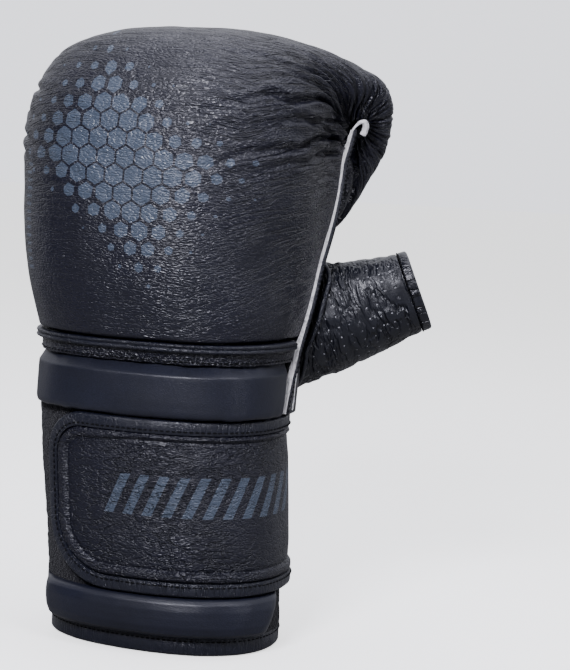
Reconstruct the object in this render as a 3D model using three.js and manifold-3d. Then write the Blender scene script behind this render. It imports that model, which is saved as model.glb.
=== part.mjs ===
// A padded leather bag glove for the left hand, standing upright on the open end of its cuff.
// Millimetres, +Z up. The back of the hand faces -Y, the palm faces +Y and the thumb is on the +X side.
// A thick padded mitt covers the back of the hand and curls over the fingers. A thin palm panel closes it
// and carries the open thumb tube. Below them sit two pads, the split cuff and the wide closure strap.
import * as THREE from "three";
import { mergeVertices } from "three/addons/utils/BufferGeometryUtils.js";
import Module from "manifold-3d";

const wasm = await Module();
wasm.setup();

// Clearances between neighbouring pieces
const seamGap = 0.35;

// Cuff, measured over the outer face of its wall
const cuffHeight = 103.5;
const cuffWidthBottom = 103;
const cuffWidthTop = 103;
const cuffDepthBottom = 72;
const cuffDepthTop = 76;
const cuffWall = 3;
const cuffPower = 2.3;
const cuffLean = 4;
const slitWidth = 18;
const flapRadius = 18;
const cuffBindingHeight = 8;
const cuffBindingThickness = 5;

// Fuzzy loop panel round the back of the cuff; angles run from the thumb side (0) over the palm side (90)
const loopThickness = 1.6;
const loopStartAngle = -172;
const loopEndAngle = 8;

// Closure strap over the loop panel
const strapBottom = 27;
const strapThickness = 3;
const strapTipAngle = -131;
const strapRootAngle = 168;
const strapTipTopRadius = 20;
const strapTipBottomRadius = 30;
const strapBindingWidth = 6;
const strapBindingThickness = 4;

// Padded bar below the strap
const lowerPadThickness = 5.5;
const lowerPadStartAngle = -152;
const lowerPadEndAngle = -2;

// Padded bar above the strap, and the flat yoke between it and the mitt
const wristPadHeight = 23;
const wristPadThickness = 7;
const yokeHeight = 9;
const yokeThickness = 4.5;
const weltRadius = 1.9;

// Mitt: outer sizes from the wrist seam up
const mittWidth = 142;
const mittDepth = 128;
const mittHeight = 134;
const mittProud = 15;
const thumbwardLean = 9;
const padThickness = 26;
const sidePadThickness = 9;
const mittInnerPower = 2.4;

// Side seam of the mitt, seen from the side: it runs up from the wrist and ends in a small arch
const seamFootDepth = 10;
const seamHeadDepth = 33;
const seamHeadDrop = 42;
const archRadius = 5;
const pipingRadius = 1.4;

// Gathers of the leather round the arch
const gatherCount = 8;
const gatherDepth = 1.8;
const seamRecess = 5;

// Grip hem and palm panel
const gripHemRadius = 3.2;
const palmWall = 2;
const palmProud = 2.5;
const creaseDepth = 36;
const creaseDrop = 57;
const palmPower = 2.6;

// Thumb tube. Its axis bends through three stops: out is a share of half the mitt's width, forward of half
// the cuff's depth, and up of the mitt's height above the wrist seam.
const thumbStops = [
  { out: 0.535, forward: 1.0, up: 0.018 },
  { out: 0.901, forward: 1.158, up: 0.056 },
  { out: 1.31, forward: 1.447, up: 0.153 },
];
const thumbRootHeight = 59;
const thumbRootWidth = 44;
const thumbTipHeight = 37;
const thumbTipWidth = 36;
const thumbWall = 2;
const thumbHemLength = 4.5;
const thumbHemThickness = 3;
const thumbWeltRadius = 1.1;

const wristPadBottom = cuffHeight + seamGap;
const yokeBottom = wristPadBottom + wristPadHeight + seamGap;
const mittBottom = yokeBottom + yokeHeight + seamGap;
const backFace = -cuffDepthTop / 2 - mittProud;
const halfMitt = mittWidth / 2;

// Sections of the mitt from the wrist seam over the knuckles to the grip hem. depth and height place the
// middle of the section as shares of mittDepth and mittHeight, width is a share of half the mitt's width and
// pad of padThickness. power is how square the section is, and recess is the share of seamRecess by which
// the side seam draws it in. side says where the section ends on the side seam: 0 at its foot, 1 at the
// start of the arch, 2 at the arch's far end.
const mittSections = [
  { depth: 0.048, height: 0.0, width: 0.807, pad: 0.38, power: 2.7, recess: 0.0, side: 0.0 },
  { depth: 0.012, height: 0.16, width: 0.87, pad: 0.52, power: 2.7, recess: 0.0, side: 0.17 },
  { depth: 0.0, height: 0.36, width: 0.93, pad: 0.8, power: 2.7, recess: 0.0, side: 0.4 },
  { depth: 0.01, height: 0.57, width: 0.97, pad: 0.98, power: 2.8, recess: 0.2, side: 0.64 },
  { depth: 0.06, height: 0.785, width: 0.985, pad: 1.0, power: 3.0, recess: 0.6, side: 0.88 },
  { depth: 0.185, height: 0.945, width: 1.0, pad: 0.96, power: 3.1, recess: 0.9, side: 1.06 },
  { depth: 0.37, height: 1.0, width: 1.02, pad: 0.92, power: 3.2, recess: 1.0, side: 1.22 },
  { depth: 0.59, height: 0.985, width: 1.065, pad: 0.9, power: 3.4, recess: 1.0, side: 1.4 },
  { depth: 0.8, height: 0.9, width: 1.09, pad: 0.86, power: 3.6, recess: 1.0, side: 1.56 },
  { depth: 0.955, height: 0.755, width: 1.09, pad: 0.8, power: 3.6, recess: 0.95, side: 1.7 },
  { depth: 1.0, height: 0.575, width: 1.07, pad: 0.68, power: 3.5, recess: 0.85, side: 1.82 },
  { depth: 0.97, height: 0.39, width: 1.01, pad: 0.5, power: 3.3, recess: 0.7, side: 1.92 },
  { depth: 0.89, height: 0.255, width: 0.96, pad: 0.3, power: 3.0, recess: 0.5, side: 2.0 },
];
const firstGatheredSection = 4;

// Rising half of the palm panel: up is the share of the way from the wrist to the crease, inward the share
// of the way from the palm's face to the crease's depth.
const palmRise = [
  { up: 0.0, inward: 0.0 },
  { up: 0.14, inward: -0.07 },
  { up: 0.3, inward: 0.02 },
  { up: 0.47, inward: 0.24 },
  { up: 0.65, inward: 0.55 },
  { up: 0.82, inward: 0.83 },
  { up: 0.94, inward: 0.97 },
];

// Height profile of the two pads: at is the share of the height, rise the share of the thickness.
const wristPadProfile = [
  { at: 0.0, rise: 0.72 },
  { at: 0.1, rise: 0.97 },
  { at: 0.5, rise: 1.0 },
  { at: 0.72, rise: 0.95 },
  { at: 0.9, rise: 0.55 },
  { at: 1.0, rise: 0.3 },
];
const lowerPadProfile = [
  { at: 0.0, rise: 0.35 },
  { at: 0.18, rise: 0.8 },
  { at: 0.5, rise: 1.0 },
  { at: 0.85, rise: 0.85 },
  { at: 1.0, rise: 0.55 },
];

const degrees = (value) => (value * Math.PI) / 180;
const lerp = THREE.MathUtils.lerp;
const range = (count) => Array.from({ length: count + 1 }, (_, i) => i / count);

// A row of a table at a place between its rows, smoothly through all of them
function tableAt(table, place) {
  const last = table.length - 1;
  const i = Math.min(Math.floor(place), last - 1);
  const row = (k) => table[Math.max(0, Math.min(last, k))];
  const t = place - i;
  const result = {};
  for (const key of Object.keys(table[0])) {
    const [a, b, c, d] = [row(i - 1)[key], row(i)[key], row(i + 1)[key], row(i + 2)[key]];
    const slopeIn = (c - a) / 2;
    const slopeOut = (d - b) / 2;
    const t2 = t * t;
    const t3 = t2 * t;
    result[key] =
      (2 * t3 - 3 * t2 + 1) * b + (t3 - 2 * t2 + t) * slopeIn + (3 * t2 - 2 * t3) * c + (t3 - t2) * slopeOut;
  }
  return result;
}

// A closed geometry from a list of triangle corners, with shared corners merged and its faces pointing out
function closedGeometry(corners) {
  const positions = new Float32Array(corners.length * 3);
  corners.forEach((p, i) => p.toArray(positions, i * 3));
  const loose = new THREE.BufferGeometry();
  loose.setAttribute("position", new THREE.BufferAttribute(positions, 3));
  const merged = mergeVertices(loose, 1e-3);
  const index = [];
  const old = merged.index.array;
  for (let i = 0; i < old.length; i += 3) {
    const [a, b, c] = [old[i], old[i + 1], old[i + 2]];
    if (a !== b && b !== c && a !== c) index.push(a, b, c);
  }
  const point = (i) => new THREE.Vector3().fromBufferAttribute(merged.attributes.position, i);
  let volume = 0;
  for (let i = 0; i < index.length; i += 3) {
    volume += point(index[i]).dot(point(index[i + 1]).cross(point(index[i + 2])));
  }
  merged.setIndex(volume < 0 ? index.reverse() : index);
  return merged;
}

function quad(corners, a, b, c, d) {
  corners.push(a, b, c, a, c, d);
}

// The solid between an outer and an inner sheet of points with the same rows and columns.
// wrap joins the last row to the first, as in a tube.
function sheetSolid(outer, inner, wrap = false) {
  const corners = [];
  const rows = outer.length;
  const columns = outer[0].length;
  const spans = wrap ? rows : rows - 1;
  for (let i = 0; i < spans; i++) {
    const n = (i + 1) % rows;
    for (let j = 0; j < columns - 1; j++) {
      quad(corners, outer[i][j], outer[n][j], outer[n][j + 1], outer[i][j + 1]);
      quad(corners, inner[i][j + 1], inner[n][j + 1], inner[n][j], inner[i][j]);
    }
    const e = columns - 1;
    quad(corners, outer[n][0], outer[i][0], inner[i][0], inner[n][0]);
    quad(corners, outer[i][e], outer[n][e], inner[n][e], inner[i][e]);
  }
  for (let j = 0; j < columns - 1 && !wrap; j++) {
    const e = rows - 1;
    quad(corners, outer[0][j], outer[0][j + 1], inner[0][j + 1], inner[0][j]);
    quad(corners, outer[e][j + 1], outer[e][j], inner[e][j], inner[e][j + 1]);
  }
  return closedGeometry(corners);
}

// A section swept along frames {at, across, out}. The section's points are [across, out] pairs.
function sweepSolid(frames, section, loop = false) {
  const rings = frames.map((f) =>
    section.map(([a, o]) => f.at.clone().addScaledVector(f.across, a).addScaledVector(f.out, o)),
  );
  const corners = [];
  const sides = section.length;
  const spans = loop ? rings.length : rings.length - 1;
  for (let i = 0; i < spans; i++) {
    const next = rings[(i + 1) % rings.length];
    for (let k = 0; k < sides; k++) {
      const m = (k + 1) % sides;
      quad(corners, rings[i][k], next[k], next[m], rings[i][m]);
    }
  }
  if (!loop) {
    const last = rings[rings.length - 1];
    for (let k = 1; k < sides - 1; k++) {
      corners.push(rings[0][0], rings[0][k], rings[0][k + 1]);
      corners.push(last[0], last[k + 1], last[k]);
    }
  }
  return closedGeometry(corners);
}

// A round bead along a line of points
function beadSolid(points, radius, sides = 6, loop = false) {
  const count = points.length;
  const at = (i) => points[loop ? (i + count) % count : Math.max(0, Math.min(count - 1, i))];
  let across = null;
  const frames = points.map((p, i) => {
    const along = at(i + 1).clone().sub(at(i - 1)).normalize();
    if (!across) across = new THREE.Vector3(0.3, 0.5, 0.8).cross(along);
    across = across.clone().addScaledVector(along, -across.dot(along)).normalize();
    return { at: p, across, out: along.clone().cross(across) };
  });
  const section = range(sides)
    .slice(0, sides)
    .map((t) => [radius * Math.cos(t * 2 * Math.PI), radius * Math.sin(t * 2 * Math.PI)]);
  return sweepSolid(frames, section, loop);
}

function toSolid(geometry) {
  const plain = new THREE.BufferGeometry();
  plain.setAttribute("position", geometry.getAttribute("position"));
  plain.setIndex(geometry.index);
  const merged = mergeVertices(plain, 1e-4);
  return new wasm.Manifold(
    new wasm.Mesh({
      numProp: 3,
      vertProperties: new Float32Array(merged.attributes.position.array),
      triVerts: new Uint32Array(merged.index.array),
    }),
  );
}

function toGeometry(solid) {
  const mesh = solid.getMesh();
  const geometry = new THREE.BufferGeometry();
  geometry.setAttribute("position", new THREE.BufferAttribute(new Float32Array(mesh.vertProperties), 3));
  geometry.setIndex([...mesh.triVerts]);
  return geometry;
}

// Signed power, for superellipse curves
const bent = (value, power) => Math.sign(value) * Math.abs(value) ** (2 / power);

// Cuff cross-section: a point at an angle and height, a distance outside the wall's outer face. The open end
// leans towards the thumb.
function cuffPoint(angle, z, offset) {
  const t = z / cuffHeight;
  const a = lerp(cuffWidthBottom, cuffWidthTop, t) / 2 + offset;
  const b = lerp(cuffDepthBottom, cuffDepthTop, t) / 2 + offset;
  const lean = cuffLean * (1 - t);
  return new THREE.Vector3(
    lean + a * bent(Math.cos(angle), cuffPower),
    b * bent(Math.sin(angle), cuffPower),
    z,
  );
}

// Length round the cuff at mid height, so that angles can be found from lengths along the wall
const girthCount = 720;
const girthSteps = range(girthCount).map((t) => cuffPoint(t * 2 * Math.PI, cuffHeight / 2, 0));
const girthAt = [0];
for (let i = 1; i < girthSteps.length; i++) {
  girthAt.push(girthAt[i - 1] + girthSteps[i].distanceTo(girthSteps[i - 1]));
}
function lengthAtAngle(angle) {
  const steps = (angle / (2 * Math.PI)) * girthCount;
  const turns = Math.floor(steps / girthCount);
  const place = steps - turns * girthCount;
  const i = Math.floor(place);
  const next = Math.min(i + 1, girthCount);
  return turns * girthAt[girthCount] + lerp(girthAt[i], girthAt[next], place - i);
}
function angleAtLength(length) {
  const turns = Math.floor(length / girthAt[girthCount]);
  const rest = length - turns * girthAt[girthCount];
  let i = 0;
  while (i < girthCount - 1 && girthAt[i + 1] < rest) i++;
  const t = (rest - girthAt[i]) / (girthAt[i + 1] - girthAt[i]);
  return ((i + t) / girthCount + turns) * 2 * Math.PI;
}

// Side seam in the YZ plane, at the place given in the section tables. The arch's radius can be narrowed.
const seamFoot = { y: seamFootDepth, z: mittBottom };
const seamHead = { y: seamHeadDepth, z: mittBottom + mittHeight - seamHeadDrop };
function seamPoint(side, inset = 0) {
  if (side <= 1) {
    return { y: lerp(seamFoot.y, seamHead.y, side) + inset, z: lerp(seamFoot.z, seamHead.z, side) };
  }
  const turn = (side - 1) * Math.PI;
  const radius = archRadius - inset;
  return { y: seamHead.y + archRadius - radius * Math.cos(turn), z: seamHead.z + radius * Math.sin(turn) };
}
const seamPlace = (z) => (z - seamFoot.z) / (seamHead.z - seamFoot.z);

// A section through the glove: from the thumb's side seam over a middle point to the other side seam
function archPoints(end, middle, halfWidth, power, count, shift = null) {
  return range(count).map((t) => {
    const turn = t * Math.PI;
    const along = bent(Math.cos(turn), power);
    const rise = Math.abs(Math.sin(turn)) ** (2 / power);
    const p = new THREE.Vector3(
      halfWidth * along,
      end.y + (middle.y - end.y) * rise,
      end.z + (middle.z - end.z) * rise,
    );
    return shift ? shift(p, turn) : p;
  });
}

// The fist leans a little towards the thumb: a shift along X that grows from the wrist seam up
const leanAt = (z) => thumbwardLean * (Math.max(0, z - mittBottom) / mittHeight) ** 2;

const shapes = [];
function addPiece(name, geometry, material) {
  const positions = geometry.getAttribute("position");
  for (let i = 0; i < positions.count; i++) {
    positions.setX(i, positions.getX(i) + leanAt(positions.getZ(i)));
  }
  shapes.push({ name, geometry, material });
}

const leather = (name, color, roughness) =>
  new THREE.MeshStandardMaterial({ name, color, roughness, metalness: 0 });
const grainLeather = leather("grain_leather", 0x20212b, 0.5);
const smoothLeather = leather("smooth_leather", 0x242530, 0.45);
const perforatedLeather = leather("perforated_leather", 0x1a1b22, 0.42);
const bindingTape = leather("binding_tape", 0x17181d, 0.55);
const loopFabric = leather("loop_fabric", 0x0d0d10, 0.95);
const whitePiping = leather("white_piping", 0xd9d9de, 0.6);

// Padded mitt
function mittSection(place) {
  const row = tableAt(mittSections, place);
  return {
    middle: { y: backFace + row.depth * mittDepth, z: mittBottom + row.height * mittHeight },
    end: seamPoint(Math.max(0, Math.min(2, row.side))),
    halfWidth: row.width * halfMitt,
    pad: row.pad * padThickness,
    power: row.power,
    recess: row.recess * seamRecess,
  };
}
function inwardAt(place) {
  const step = 0.02;
  const a = mittSection(Math.max(0, place - step)).middle;
  const b = mittSection(Math.min(mittSections.length - 1, place + step)).middle;
  const length = Math.hypot(b.y - a.y, b.z - a.z);
  return { y: (b.z - a.z) / length, z: (a.y - b.y) / length };
}
const plainSteps = 10;
const curlSteps = gatherCount * 4;
const mittColumns = 20;
const lastSection = mittSections.length - 1;
const mittPlaces = [
  ...range(plainSteps).map((t) => t * firstGatheredSection),
  ...range(curlSteps)
    .slice(1)
    .map((t) => lerp(firstGatheredSection, lastSection, t)),
];
const seamRecessTurn = 0.2;
function gatherShift(place, section, strength = 1) {
  const share = (place - firstGatheredSection) / (lastSection - firstGatheredSection);
  const wave = share > 0 ? 0.5 - 0.5 * Math.cos(share * gatherCount * 2 * Math.PI) : 0;
  const reach = Math.hypot(section.middle.y - section.end.y, section.middle.z - section.end.z);
  return (p, turn) => {
    const fromSide = Math.min(turn, Math.PI - turn);
    p.x -= Math.sign(p.x) * section.recess * Math.exp(-((fromSide / seamRecessTurn) ** 2));
    const rise = Math.sin(Math.min(1, fromSide / 0.3) * (Math.PI / 2));
    const fade = Math.max(0, 1 - fromSide / 1.1);
    const depth = strength * gatherDepth * wave * rise * fade;
    p.x -= depth * Math.cos(turn);
    p.y -= (depth * Math.sin(turn) * (section.middle.y - section.end.y)) / reach;
    p.z -= (depth * Math.sin(turn) * (section.middle.z - section.end.z)) / reach;
    return p;
  };
}
function mittInnerMiddle(place) {
  const section = mittSection(place);
  const inward = inwardAt(place);
  return {
    y: section.middle.y + inward.y * section.pad,
    z: place === 0 ? mittBottom : section.middle.z + inward.z * section.pad,
  };
}
const mittOuter = mittPlaces.map((place) => {
  const section = mittSection(place);
  const shift = gatherShift(place, section);
  return archPoints(section.end, section.middle, section.halfWidth, section.power, mittColumns, shift);
});
const mittInner = mittPlaces.map((place) => {
  const section = mittSection(place);
  const halfWidth = section.halfWidth - sidePadThickness;
  const shift = gatherShift(place, section, 0);
  return archPoints(section.end, mittInnerMiddle(place), halfWidth, mittInnerPower, mittColumns, shift);
});
addPiece("padded_mitt", sheetSolid(mittOuter, mittInner), grainLeather);

// Pad, yoke and welt between the mitt and the strap. They end at the side seam, as the mitt does.
const wristHalfWidth = mittSections[0].width * halfMitt;
const wristPower = mittSections[0].power;
const wallHalfDepth = cuffDepthTop / 2;
const wallHalfWidth = cuffWidthTop / 2;
const bandColumns = 24;
function backBand(bottom, height, thickness, profile) {
  const outer = profile.map(({ at, rise }) => {
    const z = bottom + at * height;
    const middle = { y: -wallHalfDepth - thickness * rise, z };
    const halfWidth = wristHalfWidth - wristPadThickness * (1 - rise) * 0.4;
    return archPoints(seamPoint(seamPlace(z)), middle, halfWidth, wristPower, bandColumns);
  });
  const inner = profile.map(({ at }) => {
    const z = bottom + at * height;
    const middle = { y: -wallHalfDepth + cuffWall, z };
    return archPoints(seamPoint(seamPlace(z)), middle, wallHalfWidth - cuffWall, cuffPower, bandColumns);
  });
  return sheetSolid(outer, inner);
}
const flatProfile = [
  { at: 0, rise: 1 },
  { at: 1, rise: 1 },
];
addPiece(
  "wrist_pad",
  backBand(wristPadBottom, wristPadHeight, wristPadThickness, wristPadProfile),
  smoothLeather,
);
addPiece("wrist_yoke", backBand(yokeBottom, yokeHeight, yokeThickness, flatProfile), grainLeather);

const weltZ = mittBottom - seamGap - weltRadius;
const weltOffset = yokeThickness + weltRadius + seamGap;
const weltLine = archPoints(
  seamPoint(seamPlace(weltZ)),
  { y: -wallHalfDepth - weltOffset, z: weltZ },
  wristHalfWidth + weltRadius + seamGap,
  wristPower,
  bandColumns,
);
addPiece("wrist_welt", beadSolid(weltLine.slice(1, -1), weltRadius, 6), bindingTape);

// Palm panel: up from the wrist, over a crease inside the curl and down to the grip hem
const creaseRadius = palmWall * 1.1;
const palmFace = wallHalfDepth + palmProud;
const palmBottom = cuffHeight + seamGap;
const creaseTop = mittBottom + mittHeight - creaseDrop;
const hemInner = mittInnerMiddle(lastSection);
const hemInward = inwardAt(lastSection);
const palmEnd = {
  y: hemInner.y + hemInward.y * (palmWall + seamGap),
  z: hemInner.z + hemInward.z * (palmWall + seamGap),
};
const palmMiddles = [
  ...palmRise.map(({ up, inward }) => ({
    y: lerp(palmFace, creaseDepth, inward),
    z: lerp(palmBottom, creaseTop, up),
    side: seamPlace(lerp(palmBottom, seamHead.z, up / palmRise[palmRise.length - 1].up)),
  })),
  { y: creaseDepth + creaseRadius, z: creaseTop + creaseRadius, side: 1.5 },
  { y: creaseDepth + 2.6 * creaseRadius, z: lerp(creaseTop, palmEnd.z, 0.06), side: 1.85 },
  { y: lerp(creaseDepth, palmEnd.y, 0.66), z: lerp(creaseTop, palmEnd.z, 0.55), side: 1.95 },
  { y: palmEnd.y, z: palmEnd.z, side: 2 },
];
const palmPlaces = range((palmMiddles.length - 1) * 2).map((t) => t * (palmMiddles.length - 1));
const palmColumns = 16;
function palmHalfWidth(side) {
  const seamX = (row) => row.width * halfMitt - row.recess * seamRecess;
  if (side <= 0) return wristHalfWidth;
  const place = mittSections.findIndex((row) => row.side > side);
  if (place < 0) return seamX(mittSections[lastSection]);
  const [low, high] = [mittSections[place - 1], mittSections[place]];
  return lerp(seamX(low), seamX(high), (side - low.side) / (high.side - low.side));
}
function palmSheet(offset) {
  return palmPlaces.map((place) => {
    const row = tableAt(palmMiddles, place);
    const step = 0.05;
    const a = tableAt(palmMiddles, Math.max(0, place - step));
    const b = tableAt(palmMiddles, Math.min(palmMiddles.length - 1, place + step));
    const length = Math.hypot(b.y - a.y, b.z - a.z);
    const middle = {
      y: row.y + ((b.z - a.z) / length) * offset,
      z: place === 0 ? palmBottom : row.z - ((b.y - a.y) / length) * offset,
    };
    const tucked = Math.max(0, Math.min(1, (row.side - 1) * 1.4)) * (sidePadThickness + 2 * seamGap);
    const halfWidth = palmHalfWidth(row.side) - palmWall / 2 + offset - tucked;
    return archPoints(seamPoint(row.side, seamGap), middle, halfWidth, palmPower, palmColumns);
  });
}
const palmOutside = palmSheet(palmWall / 2);
const palmInside = palmSheet(-palmWall / 2);

// Thumb tube: a tapered tube on a bent axis, whose root is trimmed to the palm panel
const thumbAxis = new THREE.QuadraticBezierCurve3(
  ...thumbStops.map(
    ({ out, forward, up }) =>
      new THREE.Vector3(out * halfMitt, forward * wallHalfDepth, mittBottom + up * mittHeight),
  ),
);
const thumbSides = 24;
function thumbFrame(t) {
  const inside = Math.max(0, Math.min(1, t));
  const along = thumbAxis.getTangent(inside);
  const at = thumbAxis.getPoint(inside).addScaledVector(along, (t - inside) * thumbAxis.getLength());
  const up = new THREE.Vector3(0, 0, 1).addScaledVector(along, -along.z).normalize();
  return { at, along, up, across: along.clone().cross(up) };
}
function thumbRing(t, offset, sides = thumbSides) {
  const frame = thumbFrame(t);
  const taper = Math.max(0, Math.min(1, t));
  const halfHeight = lerp(thumbRootHeight, thumbTipHeight, taper) / 2 + offset;
  const halfWidth = lerp(thumbRootWidth, thumbTipWidth, taper) / 2 + offset;
  return range(sides)
    .slice(0, sides)
    .map((s) =>
      frame.at
        .clone()
        .addScaledVector(frame.across, halfWidth * Math.cos(s * 2 * Math.PI))
        .addScaledVector(frame.up, halfHeight * Math.sin(s * 2 * Math.PI)),
    );
}
const turned = (rings) => rings[0].map((_, k) => rings.map((ring) => ring[k]));
const thumbReachIn = -0.5;
const thumbPlaces = range(7).map((t) => lerp(thumbReachIn, 1, t));
const thumbOuter = turned(thumbPlaces.map((t) => thumbRing(t, 0)));
const thumbInner = turned(thumbPlaces.map((t) => thumbRing(t, -thumbWall)));

// The space behind the palm panel's outer face, which trims the thumb tube
const coreRows = palmPlaces.filter((place) => place <= palmRise.length - 1).length;
const coreFace = palmSheet(palmWall / 2 + seamGap).slice(0, coreRows);
coreFace.unshift(coreFace[0].map((p) => p.clone().setZ(p.z - mittProud)));
const coreBack = coreFace.map((row) => row.map((p) => new THREE.Vector3(p.x, backFace, p.z)));
const palmCore = toSolid(sheetSolid(coreFace, coreBack));
const thumbTube = toSolid(sheetSolid(thumbOuter, thumbInner, true)).subtract(palmCore);
addPiece("thumb_tube", toGeometry(thumbTube), perforatedLeather);

const borePlaces = [thumbReachIn, 0, 0.5];
const boreRings = borePlaces.map((t) => thumbRing(t, -thumbWall));
const boreFrames = borePlaces.map((t) => thumbFrame(t));
const boreCorners = [];
for (let i = 0; i < boreRings.length - 1; i++) {
  for (let k = 0; k < thumbSides; k++) {
    const m = (k + 1) % thumbSides;
    quad(boreCorners, boreRings[i][k], boreRings[i][m], boreRings[i + 1][m], boreRings[i + 1][k]);
  }
}
for (const end of [0, boreRings.length - 1]) {
  for (let k = 0; k < thumbSides; k++) {
    const pair = [boreRings[end][k], boreRings[end][(k + 1) % thumbSides]];
    if (end === 0) pair.reverse();
    boreCorners.push(boreFrames[end].at, ...pair);
  }
}
const thumbBore = toSolid(closedGeometry(boreCorners));
const palmPanel = toSolid(sheetSolid(palmOutside, palmInside)).subtract(thumbBore);
addPiece("palm_panel", toGeometry(palmPanel), perforatedLeather);

// Hem ring at the thumb's open end
const thumbLength = thumbAxis.getLength();
const hemPlaces = [1 + seamGap / thumbLength, 1 + (seamGap + thumbHemLength) / thumbLength];
const hemProud = (thumbHemThickness - thumbWall) / 2;
addPiece(
  "thumb_hem",
  sheetSolid(
    turned(hemPlaces.map((t) => thumbRing(t, hemProud))),
    turned(hemPlaces.map((t) => thumbRing(t, hemProud - thumbHemThickness))),
    true,
  ),
  bindingTape,
);

// Welt where the thumb tube is sewn to the palm panel
function palmDepthField(p) {
  const up = (p.z - palmBottom) / (creaseTop - palmBottom);
  const last = palmRise.length - 1;
  let place = 0;
  while (place < last && tableAt(palmRise, place).up < up) place += 0.05;
  const row = tableAt(palmMiddles, Math.min(place, last));
  const end = seamPoint(row.side, seamGap);
  const middleY = row.y + palmWall / 2;
  const u = Math.abs(p.x) / palmHalfWidth(row.side);
  const v = Math.max(0, p.y - end.y) / (middleY - end.y);
  return (u ** palmPower + v ** palmPower) ** (1 / palmPower) - 1;
}
function fieldNormal(p) {
  const step = 0.5;
  const change = (axis) => {
    const moved = p.clone();
    moved[axis] += step;
    return palmDepthField(moved) - palmDepthField(p);
  };
  return new THREE.Vector3(change("x"), change("y"), change("z")).normalize();
}
const weltSides = 32;
const thumbWeltLine = range(weltSides)
  .slice(0, weltSides)
  .map((_, k) => {
    let [inside, outside] = [thumbReachIn, 1];
    for (let n = 0; n < 24; n++) {
      const half = (inside + outside) / 2;
      if (palmDepthField(thumbRing(half, 0, weltSides)[k]) < 0) inside = half;
      else outside = half;
    }
    const p = thumbRing(outside, 0, weltSides)[k];
    const tubeOut = p.clone().sub(thumbFrame(outside).at);
    const along = thumbFrame(outside).along;
    tubeOut.addScaledVector(along, -tubeOut.dot(along)).normalize();
    const palmOut = fieldNormal(p);
    const spread = (thumbWeltRadius + 2 * seamGap) / (1 + tubeOut.dot(palmOut));
    return p.addScaledVector(tubeOut.add(palmOut), spread);
  });
addPiece("thumb_welt", beadSolid(thumbWeltLine, thumbWeltRadius, 6, true), bindingTape);

// Piping along each side seam, from the strap up and over the arch
function sidePiping(direction) {
  const foot = seamPlace(cuffHeight + seamGap);
  const places = [foot, ...range(10), ...range(8).slice(1).map((t) => 1 + t)];
  const line = places.map((side) => {
    const { y, z } = seamPoint(side);
    const widest = Math.max(palmHalfWidth(side - 0.2), palmHalfWidth(side + 0.2));
    const x = widest + pipingRadius + 3 * seamGap;
    return new THREE.Vector3(direction * x, y, z);
  });
  return beadSolid(line, pipingRadius, 6);
}
addPiece("side_piping_thumb", sidePiping(1), whitePiping);
addPiece("side_piping_little", sidePiping(-1), bindingTape);

// Rolled hem along the curl's end, which the fingers close on
const [hemOutside, hemInside] = [mittOuter, mittInner].map((sheet) => sheet[sheet.length - 1]);
const hemMiddle = hemOutside.map((p, j) => p.clone().add(hemInside[j]).divideScalar(2));
const hemLine = hemMiddle.slice(1, -1).map((p, j) => {
  const along = hemMiddle[j + 2].clone().sub(hemMiddle[j]);
  const away = hemInside[j + 1].clone().sub(hemOutside[j + 1]).cross(along).normalize();
  return p.clone().addScaledVector(away, Math.sign(-away.z) * (gripHemRadius + seamGap));
});
addPiece("grip_hem", beadSolid(hemLine, gripHemRadius, 8), bindingTape);

// Cuff wall: a split band whose two flaps have round lower corners
const slitMiddle = lengthAtAngle(degrees(90));
const cuffStart = slitMiddle + slitWidth / 2 + cuffBindingHeight + seamGap;
const cuffEnd = slitMiddle + girthAt[girthCount] - slitWidth / 2 - cuffBindingHeight - seamGap;
const wallRadius = flapRadius - cuffBindingHeight - seamGap;
const wallBottom = cuffBindingHeight + seamGap;
const cornerSteps = 4;
const cuffStops = [
  ...range(cornerSteps).map((t) => wallRadius * (1 - Math.cos((t * Math.PI) / 2))),
  ...range(40)
    .slice(1, -1)
    .map((t) => lerp(wallRadius, cuffEnd - cuffStart - wallRadius, t)),
  ...range(cornerSteps).map((t) => cuffEnd - cuffStart - wallRadius * (1 - Math.sin((t * Math.PI) / 2))),
];
const cornerRise = (fromEdge) =>
  fromEdge >= wallRadius ? 0 : wallRadius - Math.sqrt(wallRadius ** 2 - (wallRadius - fromEdge) ** 2);
function cuffWallSheet(offset) {
  return cuffStops.map((stop) => {
    const angle = angleAtLength(cuffStart + stop);
    const bottom = wallBottom + cornerRise(Math.min(stop, cuffEnd - cuffStart - stop));
    return [bottom, cuffHeight].map((z) => cuffPoint(angle, z, offset));
  });
}
addPiece("cuff_wall", sheetSolid(cuffWallSheet(0), cuffWallSheet(-cuffWall)), perforatedLeather);

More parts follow.
